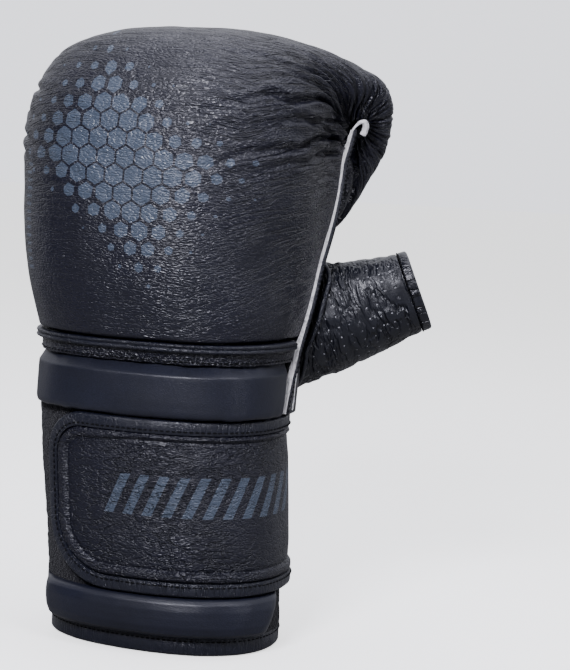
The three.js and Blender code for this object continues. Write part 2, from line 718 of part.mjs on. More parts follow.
// Tape bound round the cuff's edge: down one side of the slit, round the bottom and up the other side
function cuffTangent(angle, z) {
  const step = 0.01;
  return cuffPoint(angle + step, z, 0).sub(cuffPoint(angle - step, z, 0)).normalize();
}
function cuffEdgeFrame(stop, z, sideways) {
  const angle = angleAtLength(cuffStart + stop);
  const along = cuffTangent(angle, z);
  const out = along.clone().cross(new THREE.Vector3(0, 0, 1));
  const across = new THREE.Vector3(0, 0, -Math.sqrt(1 - sideways ** 2)).addScaledVector(along, sideways);
  return { at: cuffPoint(angle, z, -cuffWall / 2), across, out };
}
const cuffLength = cuffEnd - cuffStart;
const edgeFrames = [
  ...range(2)
    .slice(0, -1)
    .map((t) => cuffEdgeFrame(0, lerp(cuffHeight, wallBottom + wallRadius, t), -1)),
  ...range(cornerSteps).map((t) => {
    const turn = (t * Math.PI) / 2;
    const stop = wallRadius * (1 - Math.cos(turn));
    return cuffEdgeFrame(stop, wallBottom + wallRadius * (1 - Math.sin(turn)), -Math.cos(turn));
  }),
  ...range(36)
    .slice(1, -1)
    .map((t) => cuffEdgeFrame(lerp(wallRadius, cuffLength - wallRadius, t), wallBottom, 0)),
  ...range(cornerSteps).map((t) => {
    const turn = (t * Math.PI) / 2;
    const stop = cuffLength - wallRadius * (1 - Math.sin(turn));
    return cuffEdgeFrame(stop, wallBottom + wallRadius * (1 - Math.cos(turn)), Math.sin(turn));
  }),
  ...range(2)
    .slice(1)
    .map((t) => cuffEdgeFrame(cuffLength, lerp(wallBottom + wallRadius, cuffHeight, t), 1)),
];
function tapeSection(width, thickness, inset) {
  const half = thickness / 2;
  const bevel = thickness * 0.28;
  return [
    [inset, -half],
    [width - bevel, -half],
    [width, -half + bevel],
    [width, half - bevel],
    [width - bevel, half],
    [inset, half],
  ];
}
const cuffTape = tapeSection(wallBottom, cuffBindingThickness, seamGap);
addPiece("cuff_binding", sweepSolid(edgeFrames, cuffTape), bindingTape);

// A band round the cuff between two angles, lying between two distances outside the wall
function cuffBand(startAngle, endAngle, steps, rows, inside) {
  const [start, end] = [lengthAtAngle(degrees(startAngle)), lengthAtAngle(degrees(endAngle))];
  const sheet = (offsetAt) =>
    range(steps).map((t) => {
      const angle = angleAtLength(lerp(start, end, t));
      return rows(t).map((row) => cuffPoint(angle, row.z, offsetAt(row)));
    });
  return sheetSolid(sheet((row) => row.offset), sheet(() => inside));
}
const tapeOverhang = (cuffBindingThickness - cuffWall) / 2;
const loopBottom = wallBottom + seamGap;
addPiece(
  "loop_panel",
  cuffBand(
    loopStartAngle,
    loopEndAngle,
    24,
    () => [loopBottom, cuffHeight].map((z) => ({ z, offset: seamGap + loopThickness })),
    seamGap,
  ),
  loopFabric,
);

const padInside = 2 * seamGap + loopThickness;
const lowerPadHeight = strapBottom - 2 * seamGap - loopBottom;
const endFade = (t) => {
  const fromEnd = Math.min(t, 1 - t);
  return fromEnd > 1 / 6 ? 1 : Math.sin(fromEnd * 3 * Math.PI);
};
addPiece(
  "lower_pad",
  cuffBand(
    lowerPadStartAngle,
    lowerPadEndAngle,
    24,
    (t) =>
      lowerPadProfile.map(({ at, rise }) => ({
        z: loopBottom + at * lowerPadHeight,
        offset: padInside + lowerPadThickness * rise * (0.3 + 0.7 * endFade(t)),
      })),
    padInside,
  ),
  smoothLeather,
);

// Strap: root sewn on the little finger's side, over the palm and the thumb's side to a round tip on the
// back
const strapInside = 2 * seamGap + loopThickness;
const strapTop = cuffHeight - seamGap;
const bodyInset = strapBindingWidth + seamGap;
const [tipLength, rootLength] = [strapTipAngle, strapRootAngle].map((a) => lengthAtAngle(degrees(a)));
const bodyStart = tipLength + bodyInset;
const bodyEnd = rootLength - bodyInset;
const bodyBottom = strapBottom + bodyInset;
const bodyTop = strapTop - bodyInset;
const [topRadius, bottomRadius] = [strapTipTopRadius, strapTipBottomRadius].map((r) => r - bodyInset);
const tipInset = (fromTip, radius) =>
  fromTip >= radius ? 0 : radius - Math.sqrt(radius ** 2 - (radius - fromTip) ** 2);
const tipSteps = 7;
const strapStops = [
  ...range(tipSteps).map((t) => bottomRadius * (1 - Math.cos((t * Math.PI) / 2))),
  ...range(40)
    .slice(1)
    .map((t) => lerp(bottomRadius, bodyEnd - bodyStart, t)),
];
function strapSheet(offset) {
  return strapStops.map((stop) => {
    const angle = angleAtLength(bodyStart + stop);
    const rows = [bodyBottom + tipInset(stop, bottomRadius), bodyTop - tipInset(stop, topRadius)];
    return rows.map((z) => cuffPoint(angle, z, offset));
  });
}
addPiece(
  "closure_strap",
  sheetSolid(strapSheet(strapInside + strapThickness), strapSheet(strapInside)),
  grainLeather,
);

function strapEdgeFrame(stop, z, sideways, upwards) {
  const angle = angleAtLength(bodyStart + stop);
  const along = cuffTangent(angle, z);
  const out = along.clone().cross(new THREE.Vector3(0, 0, 1));
  const across = new THREE.Vector3(0, 0, upwards).addScaledVector(along, sideways).normalize();
  return { at: cuffPoint(angle, z, strapInside + strapBindingThickness / 2), across, out };
}
const strapSpan = bodyEnd - bodyStart;
const strapEdge = [
  ...range(40)
    .slice(0, -1)
    .map((t) => strapEdgeFrame(lerp(strapSpan, topRadius, t), bodyTop, 0, 1)),
  ...range(tipSteps).map((t) => {
    const turn = (t * Math.PI) / 2;
    const stop = topRadius * (1 - Math.sin(turn));
    return strapEdgeFrame(stop, bodyTop - topRadius * (1 - Math.cos(turn)), -Math.sin(turn), Math.cos(turn));
  }),
  ...range(tipSteps).map((t) => {
    const turn = (t * Math.PI) / 2;
    const stop = bottomRadius * (1 - Math.cos(turn));
    const z = bodyBottom + bottomRadius * (1 - Math.sin(turn));
    return strapEdgeFrame(stop, z, -Math.cos(turn), -Math.sin(turn));
  }),
  ...range(40)
    .slice(1)
    .map((t) => strapEdgeFrame(lerp(bottomRadius, strapSpan, t), bodyBottom, 0, -1)),
];
const strapTape = tapeSection(strapBindingWidth + seamGap, strapBindingThickness, seamGap);
addPiece("strap_binding", sweepSolid(strapEdge, strapTape), bindingTape);

// Box-stitched patch that holds the strap's root to the cuff
addPiece(
  "strap_root",
  cuffBand(
    strapRootAngle + 1,
    strapRootAngle + 14,
    4,
    () => [strapBottom, strapTop].map((z) => ({ z, offset: padInside + tapeOverhang })),
    seamGap,
  ),
  bindingTape,
);

// The glove stands on the middle of its bounding box
const glove = new THREE.Group();
for (const { name, geometry, material } of shapes) {
  const mesh = new THREE.Mesh(geometry, material);
  mesh.name = name;
  glove.add(mesh);
}
const outline = new THREE.Box3().setFromObject(glove);
const footing = outline.getCenter(new THREE.Vector3());
glove.position.set(-footing.x, -footing.y, -outline.min.z);

export default glove;
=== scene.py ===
import math

import bmesh
import bpy
import numpy as np
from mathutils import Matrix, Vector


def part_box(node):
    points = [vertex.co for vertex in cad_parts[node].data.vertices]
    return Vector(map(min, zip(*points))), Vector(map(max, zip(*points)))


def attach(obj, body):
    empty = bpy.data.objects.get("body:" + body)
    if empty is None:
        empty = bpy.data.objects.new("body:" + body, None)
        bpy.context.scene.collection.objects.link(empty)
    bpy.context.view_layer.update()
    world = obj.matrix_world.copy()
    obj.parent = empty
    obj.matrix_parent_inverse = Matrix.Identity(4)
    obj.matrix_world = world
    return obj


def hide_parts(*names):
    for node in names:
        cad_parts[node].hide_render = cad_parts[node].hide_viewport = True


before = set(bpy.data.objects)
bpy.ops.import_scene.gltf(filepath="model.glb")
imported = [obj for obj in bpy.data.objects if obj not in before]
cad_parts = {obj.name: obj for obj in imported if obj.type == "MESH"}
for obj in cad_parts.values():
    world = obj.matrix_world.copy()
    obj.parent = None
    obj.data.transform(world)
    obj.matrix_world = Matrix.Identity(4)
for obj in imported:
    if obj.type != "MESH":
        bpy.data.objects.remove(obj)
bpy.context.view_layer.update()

# Shapes are worked out in millimetres, with the cuff's axis at x = y = 0, and moved to the frame in metres
yokeBox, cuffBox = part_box("wrist_yoke"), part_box("cuff_wall")
cuff = {"height": 103.5, "widthBottom": 103.0, "widthTop": 103.0, "depthBottom": 72.0, "depthTop": 76.0,
        "lean": 4.0, "topShift": 2.2, "wall": 3.0, "power": 2.3, "slit": 18.0, "flapRadius": 18.0,
        "tape": 8.35, "tapeThickness": 5.0}
footX = 500.0 * (yokeBox[0][0] + yokeBox[1][0])
footY = 1000.0 * cuffBox[0][1] + cuff["depthTop"] / 2
seamGap = 0.35


def smooth(x, low, high):
    t = np.clip((x - low) / (high - low), 0.0, 1.0)
    return t * t * (3 - 2 * t)


def bent(value, power):
    return np.sign(value) * np.abs(value) ** (2.0 / power)


# Rows of a table read at any place between them, smoothly through all of them
def tableAt(rows, place):
    rows = np.asarray(rows, float)
    last = len(rows) - 1
    place = np.clip(np.asarray(place, float), 0, last)
    i = np.minimum(place.astype(int), last - 1)
    t = (place - i)[..., None]
    a, b, c, d = (rows[np.clip(i + k, 0, last)] for k in (-1, 0, 1, 2))
    into, out = (c - a) / 2, (d - b) / 2
    t2, t3 = t * t, t * t * t
    value = (2 * t3 - 3 * t2 + 1) * b + (t3 - 2 * t2 + t) * into + (3 * t2 - 2 * t3) * c + (t3 - t2) * out
    return np.moveaxis(value, -1, 0)


# Smooth noise from -1 to 1 over any three coordinates
def latticeNoise(points, seed=0):
    points = np.asarray(points, float)
    table = np.random.default_rng(seed).uniform(-1, 1, 4096)
    cell = np.floor(points).astype(np.int64)
    f = points - cell
    f = f * f * (3 - 2 * f)
    total = 0.0
    for corner in np.ndindex(2, 2, 2):
        key = cell + np.array(corner)
        index = (key[..., 0] * 73856093 ^ key[..., 1] * 19349663 ^ key[..., 2] * 83492791) & 4095
        weight = 1.0
        for axis in range(3):
            weight = weight * (f[..., axis] if corner[axis] else 1 - f[..., axis])
        total = total + weight * table[index]
    return total


def layeredNoise(points, layers=3, seed=0):
    total, size = 0.0, 1.0
    for k in range(layers):
        total = total + latticeNoise(np.asarray(points) * 2 ** k, seed + k) * size
        size *= 0.5
    return total


def gridNormals(grid):
    down = np.gradient(grid, axis=0)
    across = np.gradient(grid, axis=1)
    normal = np.cross(down, across)
    return normal / np.maximum(np.linalg.norm(normal, axis=-1, keepdims=True), 1e-9)


# Normals flipped, if need be, so that the one at a given place looks the given way
def turned(normals, at, toward):
    return normals * np.sign(np.sum(normals[at] * np.array(toward)))


# One value for each row, repeated over some columns
def wide(values, columns):
    return np.repeat(values[:, None], columns, axis=1)


# A running mean over some neighbours on either side
def evened(values, reach):
    weights = np.ones(2 * reach + 1) / (2 * reach + 1)
    return np.convolve(np.pad(values, reach, mode="edge"), weights, mode="valid")


def lengths(points):
    step = np.linalg.norm(np.diff(points, axis=0), axis=-1)
    return np.concatenate([[0.0], np.cumsum(step)])


def resample(points, count, closed=False):
    points = np.asarray(points, float)
    if closed:
        points = np.concatenate([points, points[:1]])
    along = lengths(points)
    want = np.linspace(0, along[-1], count + 1 if closed else count)
    even = np.stack([np.interp(want, along, points[:, k]) for k in range(points.shape[1])], axis=1)
    return even[:-1] if closed else even


mitt = {"bottom": 136.55, "height": 134.0, "depth": 128.0, "halfWidth": 71.0, "back": -53.0, "pad": 26.0,
        "side": 9.0, "innerPower": 2.4, "lean": 9.0, "lowShift": 3.2, "highShift": 2.2}


# The mitt leans to the thumb's side as it rises, and its back stands a little to the other side
def leaned(points):
    out = np.array(points, float)
    up = np.maximum(0, out[..., 2] - mitt["bottom"]) / mitt["height"]
    shift = mitt["lowShift"] * smooth(up, 0, 0.3) + mitt["highShift"] * smooth(up, 0.45, 0.7)
    out[..., 0] += mitt["lean"] * up ** 2 - shift * (1 - smooth(out[..., 1], 12, 46))
    return out


def placed(points):
    out = leaned(np.asarray(points, float).reshape(-1, 3))
    return (out + np.array([footX, footY, 0.0])) * 0.001


# A closed mesh from points in millimetres, with its faces turned outwards
def solid(name, points, faces):
    mesh = bpy.data.meshes.new(name)
    mesh.from_pydata(placed(points).tolist(), [], faces)
    mesh.validate()
    work = bmesh.new()
    work.from_mesh(mesh)
    bmesh.ops.recalc_face_normals(work, faces=work.faces)
    work.to_mesh(mesh)
    work.free()
    piece = bpy.data.objects.new(name, mesh)
    bpy.context.collection.objects.link(piece)
    return piece


def addMesh(name, points, faces, material, uv=None, sharp=45.0):
    piece = solid(name, points, faces)
    mesh = piece.data
    if uv is not None:
        layer = mesh.uv_layers.new(name="flat")
        flat = np.asarray(uv, float)[[loop.vertex_index for loop in mesh.loops]] * 0.001
        layer.data.foreach_set("uv", flat.ravel())
    mesh.polygons.foreach_set("use_smooth", [True] * len(mesh.polygons))
    mesh.set_sharp_from_angle(angle=math.radians(sharp))
    mesh.materials.append(material)
    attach(piece, "root")
    return piece


# Faces of a tube of rings, with flat ends where it isn't closed
def ringFaces(count, sides, closed=False):
    faces = []
    for i in range(count if closed else count - 1):
        n = (i + 1) % count
        for k in range(sides):
            m = (k + 1) % sides
            faces.append((i * sides + k, n * sides + k, n * sides + m, i * sides + m))
    if not closed:
        faces += [list(range(sides))[::-1], [(count - 1) * sides + k for k in range(sides)]]
    return faces


# A closed solid between an outer grid and an inner one that may be coarser by whole steps
def shell(name, outer, inner, material, uv=None, wrapRows=False, sharp=45.0):
    rows, columns = outer.shape[:2]
    innerRows, innerColumns = inner.shape[:2]
    base = rows * columns
    spans = rows if wrapRows else rows - 1
    innerSpans = innerRows if wrapRows else innerRows - 1
    stepRow, stepColumn = spans // innerSpans, (columns - 1) // (innerColumns - 1)
    out = lambda i, j: (i % rows) * columns + j
    ins = lambda i, j: base + (i % innerRows) * innerColumns + j
    faces = [(out(i, j), out(i + 1, j), out(i + 1, j + 1), out(i, j + 1))
             for i in range(spans) for j in range(columns - 1)]
    faces += [(ins(i, j), ins(i, j + 1), ins(i + 1, j + 1), ins(i + 1, j))
              for i in range(innerSpans) for j in range(innerColumns - 1)]
    for i in range(innerSpans):
        fine = range(stepRow * i, stepRow * (i + 1) + 1)
        faces.append([ins(i + 1, 0), ins(i, 0)] + [out(k, 0) for k in fine])
        faces.append([ins(i, innerColumns - 1), ins(i + 1, innerColumns - 1)] +
                     [out(k, columns - 1) for k in reversed(fine)])
    if not wrapRows:
        for j in range(innerColumns - 1):
            fine = range(stepColumn * j, stepColumn * (j + 1) + 1)
            faces.append([ins(0, j), ins(0, j + 1)] + [out(0, k) for k in reversed(fine)])
            faces.append([ins(innerRows - 1, j + 1), ins(innerRows - 1, j)] +
                         [out(rows - 1, k) for k in fine])
    points = np.concatenate([outer.reshape(-1, 3), inner.reshape(-1, 3)])
    if uv is not None:
        innerUv = uv[::stepRow, ::stepColumn][:innerRows, :innerColumns]
        uv = np.concatenate([uv.reshape(-1, 2), innerUv.reshape(-1, 2)])
    return addMesh(name, points, faces, material, uv, sharp)


# A section of (across, out) pairs swept along a line, with a direction out for each of its points
def sweep(name, line, outs, section, material, closed=False, sharp=45.0, sizes=None, build=True):
    line, outs = np.asarray(line, float), np.asarray(outs, float)
    along = np.roll(line, -1, 0) - np.roll(line, 1, 0) if closed else np.gradient(line, axis=0)
    along /= np.linalg.norm(along, axis=1, keepdims=True)
    outs = outs - along * np.sum(along * outs, axis=1, keepdims=True)
    outs /= np.linalg.norm(outs, axis=1, keepdims=True)
    across = np.cross(along, outs)
    section = np.asarray(section, float)
    count, sides = len(line), len(section)
    scale = np.ones(count) if sizes is None else np.asarray(sizes, float)
    points = (line[:, None] + across[:, None] * (section[None, :, 0:1] * scale[:, None, None]) +
              outs[:, None] * (section[None, :, 1:2] * scale[:, None, None]))
    faces = ringFaces(count, sides, closed)
    if not build:
        return points.reshape(-1, 3), faces
    around = np.repeat(np.linspace(0, 12, sides)[None], count, axis=0)
    uv = np.stack([wide(lengths(line), sides), around], -1).reshape(-1, 2)
    return addMesh(name, points.reshape(-1, 3), faces, material, uv, sharp)


def circle(radius, sides=10):
    turn = np.linspace(0, 2 * math.pi, sides, endpoint=False)
    return np.stack([radius * np.cos(turn), radius * np.sin(turn)], axis=1)


# Rows of short thread stitches, each a slim bead that dips at both ends
stitchSets = []


def stitches(line, outs, pitch=2.5, length=1.75, radius=0.27, lift=0.0, closed=False):
    line, outs = np.asarray(line, float), np.asarray(outs, float)
    if closed:
        line, outs = np.concatenate([line, line[:1]]), np.concatenate([outs, outs[:1]])
    along = lengths(line)
    count = int(along[-1] / pitch)
    rng = np.random.default_rng(count)
    for k in range(count):
        middle = (k + 0.5) * along[-1] / count + rng.uniform(-0.12, 0.12)
        stops = np.clip(middle + np.array([-0.5, -0.3, 0.0, 0.3, 0.5]) * length, 0, along[-1])
        at = np.stack([np.interp(stops, along, line[:, c]) for c in range(3)], 1)
        out = np.stack([np.interp(stops, along, outs[:, c]) for c in range(3)], 1)
        out /= np.linalg.norm(out, axis=1, keepdims=True)
        at = at + out * (lift + np.array([-0.3, -0.02, 0.06, -0.02, -0.3]))[:, None]
        taper = [0.45, 0.95, 1, 0.95, 0.45]
        stitchSets.append(sweep("", at, out, circle(radius, 6), None, sizes=taper, build=False))


# Materials: a number in a shader's node graph, which arithmetic extends by one Math node at a time
def operator(kind, swapped=False):
    def applied(self, other=None):
        a, b = (other, self) if swapped else (self, other)
        return self.graph.math(kind, a, b)
    return applied


class Value:
    def __init__(self, graph, socket):
        self.graph, self.socket = graph, socket

    __add__, __sub__, __rsub__ = operator("ADD"), operator("SUBTRACT"), operator("SUBTRACT", True)
    __mul__, __truediv__, __abs__ = operator("MULTIPLY"), operator("DIVIDE"), operator("ABSOLUTE")
    __lt__, __gt__ = operator("LESS_THAN"), operator("GREATER_THAN")


class Graph:
    def __init__(self, tree):
        self.tree = tree
        self.shader = tree.nodes.get("Principled BSDF")

    def node(self, kind, **settings):
        made = self.tree.nodes.new(kind)
        for key, value in settings.items():
            setattr(made, key, value)
        return made

    def put(self, value, socket):
        if isinstance(value, Value):
            value = value.socket
        if isinstance(value, bpy.types.NodeSocket):
            self.tree.links.new(value, socket)
        elif value is not None:
            socket.default_value = value

    def made(self, kind, inputs, **settings):
        node = self.node(kind, **settings)
        for key, value in inputs.items():
            self.put(value, node.inputs[key])
        return node

    def math(self, operation, a, b=None):
        return Value(self, self.made("ShaderNodeMath", {0: a, 1: b}, operation=operation).outputs[0])

    def vectorMath(self, operation, a, b=None):
        node = self.made("ShaderNodeVectorMath", {0: a, 1: b}, operation=operation)
        if operation in ("DISTANCE", "LENGTH", "DOT_PRODUCT"):
            return Value(self, node.outputs["Value"])
        return node.outputs[0]

    def vector(self, x, y, z):
        return self.made("ShaderNodeCombineXYZ", {0: x, 1: y, 2: z}).outputs[0]

    def parts(self, vector):
        return [Value(self, output) for output in self.made("ShaderNodeSeparateXYZ", {0: vector}).outputs]

    def ramp(self, value, low, high, outLow=0.0, outHigh=1.0, kind="LINEAR"):
        inputs = {"Value": value, "From Min": low, "From Max": high, "To Min": outLow, "To Max": outHigh}
        return Value(self, self.made("ShaderNodeMapRange", inputs, interpolation_type=kind).outputs[0])

    def mix(self, share, a, b, kind="RGBA"):
        inputs = {"Factor": share, "A": a, "B": b}
        return self.made("ShaderNodeMix", inputs, data_type=kind).outputs["Result"]

    def noise(self, vector, scale, detail=3.0, roughness=0.5):
        inputs = {"Vector": vector, "Scale": scale, "Detail": detail, "Roughness": roughness}
        return Value(self, self.made("ShaderNodeTexNoise", inputs).outputs["Fac"])

    def voronoi(self, vector, scale, feature="F1"):
        inputs = {"Vector": vector, "Scale": scale}
        return Value(self, self.made("ShaderNodeTexVoronoi", inputs, feature=feature).outputs["Distance"])

    def stretched(self, vector, scale):
        return self.made("ShaderNodeMapping", {"Vector": vector, "Scale": scale}).outputs["Vector"]

    def bump(self, height, distance, strength=1.0, below=None):
        inputs = {"Strength": strength, "Distance": distance, "Height": height, "Normal": below}
        return self.made("ShaderNodeBump", inputs).outputs["Normal"]

    def surface(self, inputs):
        for key, value in inputs.items():
            self.put(value, self.shader.inputs[key])


def newMaterial(name):
    material = bpy.data.materials.new(name)
    material.use_nodes = True
    g = Graph(material.node_tree)
    return material, g, g.node("ShaderNodeTexCoord").outputs["Object"]


def shade(rgb, level=1.0):
    return (*(c * level for c in rgb), 1.0)


# Leather: pebbles with painted shade in the valleys between them, short creases, uneven tone, rubbed
# roughness, and holes (painted glints or painted shade) or a print where asked
def leather(name, base, roughness, pebble=850.0, pebbleDepth=0.0003, creases=None, holes=None, printed=None,
            coat=0.0, shine=0.28):
    material, g, place = newMaterial(name)
    flat = g.node("ShaderNodeUVMap", uv_map="flat").outputs["UV"]
    wobble = g.noise(place, 300.0)
    push = g.vector(wobble * 0.0016, 0.0, wobble * -0.0012)
    cells = g.vectorMath("ADD", g.stretched(place, (0.55, 0.55, 1.2)), push)
    edges = g.voronoi(cells, pebble, "DISTANCE_TO_EDGE")
    coarse = g.voronoi(cells, pebble * 0.43, "DISTANCE_TO_EDGE")
    fine = g.noise(place, 2400.0, 2.0)
    patches = g.noise(place, 34.0, 4.0, 0.6)
    height = g.ramp(edges, 0.0, 0.3) * 0.8 + g.ramp(coarse, 0.0, 0.12) * 0.4 + fine * 0.08
    normal = g.bump(height * g.ramp(patches, 0.3, 0.7, 0.7, 1.2), pebbleDepth)
    if creases:
        shear = g.math("MINIMUM", g.parts(flat)[0], 0.075) * creases.get("shear", 0.0)
        course = g.vectorMath("ADD", flat, g.vector(0.0, shear, 0.0))
        lines = g.noise(g.stretched(course, creases["scale"]), 1.0, 3.0, 0.6)
        valleys = g.ramp(abs(lines - 0.5), 0.0, creases.get("width", 0.05))
        where = g.ramp(g.noise(place, 26.0, 2.0), 0.38, 0.62, 0.25, 1.0)
        for k, centre in enumerate(creases.get("near", ())):
            closeness = g.ramp(g.vectorMath("DISTANCE", place, centre), 0.02, 0.1, 1.1, 0.06)
            where = g.math("MAXIMUM", where, closeness) if k else closeness
        normal = g.bump((valleys - 1.0) * where, creases["depth"], 1.0, normal)
    tone = g.mix(g.ramp(patches, 0.32, 0.7), shade(base, 0.8), shade(base, 1.2))
    # The valleys between the pebbles are painted darker: painted shade
    tone = g.mix(g.ramp(edges, 0.0, 0.12, 0.55, 0.0), tone, shade(base, 0.35))
    rough = g.ramp(patches, 0.3, 0.72, roughness + 0.05, roughness - 0.05) + (fine - 0.5) * 0.2
    if holes:
        pitch, size = holes["pitch"], holes["radius"]
        spots = g.vectorMath("MODULO", flat, (pitch, pitch, 1.0))
        away = g.vectorMath("LENGTH", g.vectorMath("SUBTRACT", spots, (pitch / 2, pitch / 2, 0.0)))
        radius = away + (wobble - 0.5) * 0.0005
        faded = g.ramp(g.noise(place, 70.0, 2.0), 0.42, 0.56, 0.25, 1.0)
        # Each hole is painted one flat colour: pale ones are painted glints at the perforations' edges,
        # near-black ones are painted shade inside them
        tone = g.mix(g.ramp(radius, size * 0.6, size, 1.0, 0.0) * faded, tone, shade(holes["color"]))
        normal = g.bump(g.ramp(radius, size * 0.9, size * 2.5), 0.0002, 0.7, normal)
    if printed:
        worn = g.ramp(g.noise(place, 1100.0, 3.0, 0.7), 0.28, 0.55, 0.8, 1.0)
        share = printed(g, place, flat) * (worn * g.ramp(edges, 0.0, 0.06, 0.75, 1.0))
        tone = g.mix(share, tone, shade((0.042, 0.056, 0.08)))
    g.surface({"Base Color": tone, "Roughness": rough, "Normal": normal, "Specular IOR Level": shine,
               "Coat Weight": coat, "Coat Roughness": 0.25})
    return material


def fuzzyCloth(name):
    material, g, place = newMaterial(name)
    clumps = g.noise(place, 330.0, 4.0, 0.7)
    height = 1.0 - g.voronoi(place, 1100.0) + clumps
    g.surface({"Base Color": g.mix(clumps, shade((0.0015, 0.0015, 0.002)), shade((0.009, 0.009, 0.013))),
               "Normal": g.bump(height, 0.0007), "Roughness": 0.95, "Specular IOR Level": 0.15,
               "Sheen Weight": 0.06, "Sheen Roughness": 0.6})
    return material


# Raw cut edge of white leather
def rawEdge(name):
    material, g, place = newMaterial(name)
    grime = g.noise(place, 420.0, 4.0, 0.7)
    fibre = g.noise(place, 2600.0, 3.0, 0.7)
    tone = g.mix(g.ramp(grime, 0.5, 0.72, 0.0, 0.8), shade((0.74, 0.73, 0.72)), shade((0.2, 0.2, 0.22)))
    g.surface({"Base Color": tone, "Normal": g.bump(fibre + grime, 0.00025), "Roughness": 0.8})
    return material


def mattThread(name):
    material, g, place = newMaterial(name)
    twist = g.noise(place, 3000.0, 2.0)
    g.surface({"Base Color": g.mix(twist, shade((0.0008, 0.0008, 0.001)), shade((0.003, 0.003, 0.004))),
               "Normal": g.bump(twist, 0.00012), "Roughness": 0.7, "Specular IOR Level": 0.12})
    return material


# A field of hexagon cells that thin out at their rim, and a column of ticks, on the back of the mitt
def mittPrint(g, place, flat):
    x, y, z = g.parts(place)
    pitch = 0.0088
    nearest = None
    for shift in (0.0, 0.5):
        aside, above = (abs((g.math("FRACT", value / size + shift) - 0.5) * (size / pitch))
                        for value, size in ((x, pitch), (z, pitch * math.sqrt(3))))
        away = g.math("MAXIMUM", aside, aside * 0.5 + above * 0.866)
        nearest = g.math("MINIMUM", nearest, away) if nearest else away
    high, middle = z - 0.213, x + 0.02
    along, across = middle * 0.8 - high * 0.6, middle * 0.6 + high * 0.8
    reach = g.math("MAXIMUM", abs(along) / 0.052, abs(across) / 0.036)
    reach = reach + (g.noise(place, 60.0, 2.0) - 0.5) * 0.5
    field = (nearest < g.ramp(reach, 0.45, 1.05, 0.45, 0.0)) * (y < -0.02)
    tick = g.math("FRACT", z / 0.0034) < 0.42
    column = (y > -0.0505) * (y < -0.0462) * (z > 0.163) * (z < 0.211) * (x < -0.05)
    return g.math("MAXIMUM", field, column * tick)


# A row of slanted bars on the strap
def strapPrint(g, place, flat):
    bars = {"middle": 0.07, "halfHeight": 0.0088, "slant": 0.45, "start": 0.027, "pitch": 0.008,
            "count": 11.0}
    u, v, _ = g.parts(flat)
    above = v - bars["middle"]
    turns = (u - above * bars["slant"] - bars["start"]) / bars["pitch"]
    bar = g.math("FRACT", turns) < 0.5
    return bar * (abs(above) < bars["halfHeight"]) * ((turns > 0.0) * (turns < bars["count"]))


ink, thumbInk = (0.0036, 0.0039, 0.0102), (0.0038, 0.0046, 0.0085)
# Pale dots at the thumb's and palm's perforations: painted glints on the holes' edges
holeGlints = {"pitch": 0.0045, "radius": 0.00034, "color": (0.3, 0.3, 0.32)}
# Near-black dots in the cuff's perforations: painted shade inside the holes
darkHoles = {"pitch": 0.0036, "radius": 0.0005, "color": (0.001, 0.001, 0.001)}
archAt = [(sign * 0.069 + 0.004 + footX * 0.001, 0.038 + footY * 0.001, 0.229) for sign in (1, -1)]
mittCreases = {"scale": (30.0, 230.0, 1.0), "depth": 0.002, "width": 0.04, "shear": 0.45, "near": archAt}
strapCreases = {"scale": (120.0, 240.0, 1.0), "depth": 0.0007}
yokeCreases = {"scale": (110.0, 300.0, 1.0), "depth": 0.0009}
thumbCreases = {"scale": (130.0, 45.0, 1.0), "depth": 0.0014, "width": 0.07}
tapeCreases = {"scale": (300.0, 120.0, 1.0), "depth": 0.0003}
grain = leather("grain_leather", ink, 0.38, 760.0, 0.0002, mittCreases, printed=mittPrint, shine=0.46)
strapGrain = leather("strap_leather", ink, 0.45, 800.0, 0.00018, strapCreases, printed=strapPrint,
                     shine=0.42)
plainGrain = leather("yoke_leather", ink, 0.36, 800.0, 0.0004, yokeCreases, coat=0.1, shine=0.5)
smoothFace = leather("smooth_leather", (0.0078, 0.009, 0.0168), 0.42, 1300.0, 0.00003, shine=0.36)
perforated = leather("perforated_leather", thumbInk, 0.4, 1300.0, 0.00003, thumbCreases, holeGlints,
                     coat=0.05, shine=0.42)
thumbEnd = leather("thumb_leather", thumbInk, 0.32, 1300.0, 0.00004, thumbCreases, coat=0.1, shine=0.42)
lining = leather("cuff_leather", (0.0055, 0.006, 0.0095), 0.5, 1200.0, 0.0001, holes=darkHoles)
binding = leather("binding_tape", (0.0068, 0.0078, 0.0145), 0.36, 1500.0, 0.00007, tapeCreases, shine=0.42)
loopCloth, whiteEdge, thread = fuzzyCloth("loop_fabric"), rawEdge("white_piping"), mattThread("thread")


def stands(piece, slot, *nodes):
    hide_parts(*nodes)
    return piece


# Side seam in the plane x = 0: up from the wrist to side 1, then round a small arch to side 2
seam = {"footY": 10.0, "footZ": mitt["bottom"], "headY": 33.0, "headZ": 228.55, "radius": 5.0}


def seamPoint(side, inset=0.0):
    side = np.asarray(side, float)
    turn = (np.maximum(side, 1) - 1) * math.pi
    radius = seam["radius"] - inset
    lineY = seam["footY"] + (seam["headY"] - seam["footY"]) * side + inset
    lineZ = seam["footZ"] + (seam["headZ"] - seam["footZ"]) * side
    y = np.where(side <= 1, lineY, seam["headY"] + seam["radius"] - radius * np.cos(turn))
    return y, np.where(side <= 1, lineZ, seam["headZ"] + radius * np.sin(turn))


def seamPlace(z):
    return (z - seam["footZ"]) / (seam["headZ"] - seam["footZ"])


# One row through the glove, from the thumb's side seam round to the other, evenly spaced
def archRow(end, middle, halfWidth, power, count, recess=0.0):
    turns = np.linspace(0, math.pi, 1201)
    rise = np.abs(np.sin(turns)) ** (2 / power)
    x = halfWidth * bent(np.cos(turns), power)
    x = x - np.sign(x) * recess * np.exp(-((np.minimum(turns, math.pi - turns) / 0.2) ** 2))
    y = end[0] + (middle[0] - end[0]) * rise
    z = end[1] + (middle[1] - end[1]) * rise
    return resample(np.stack([x, y, z], 1), count)


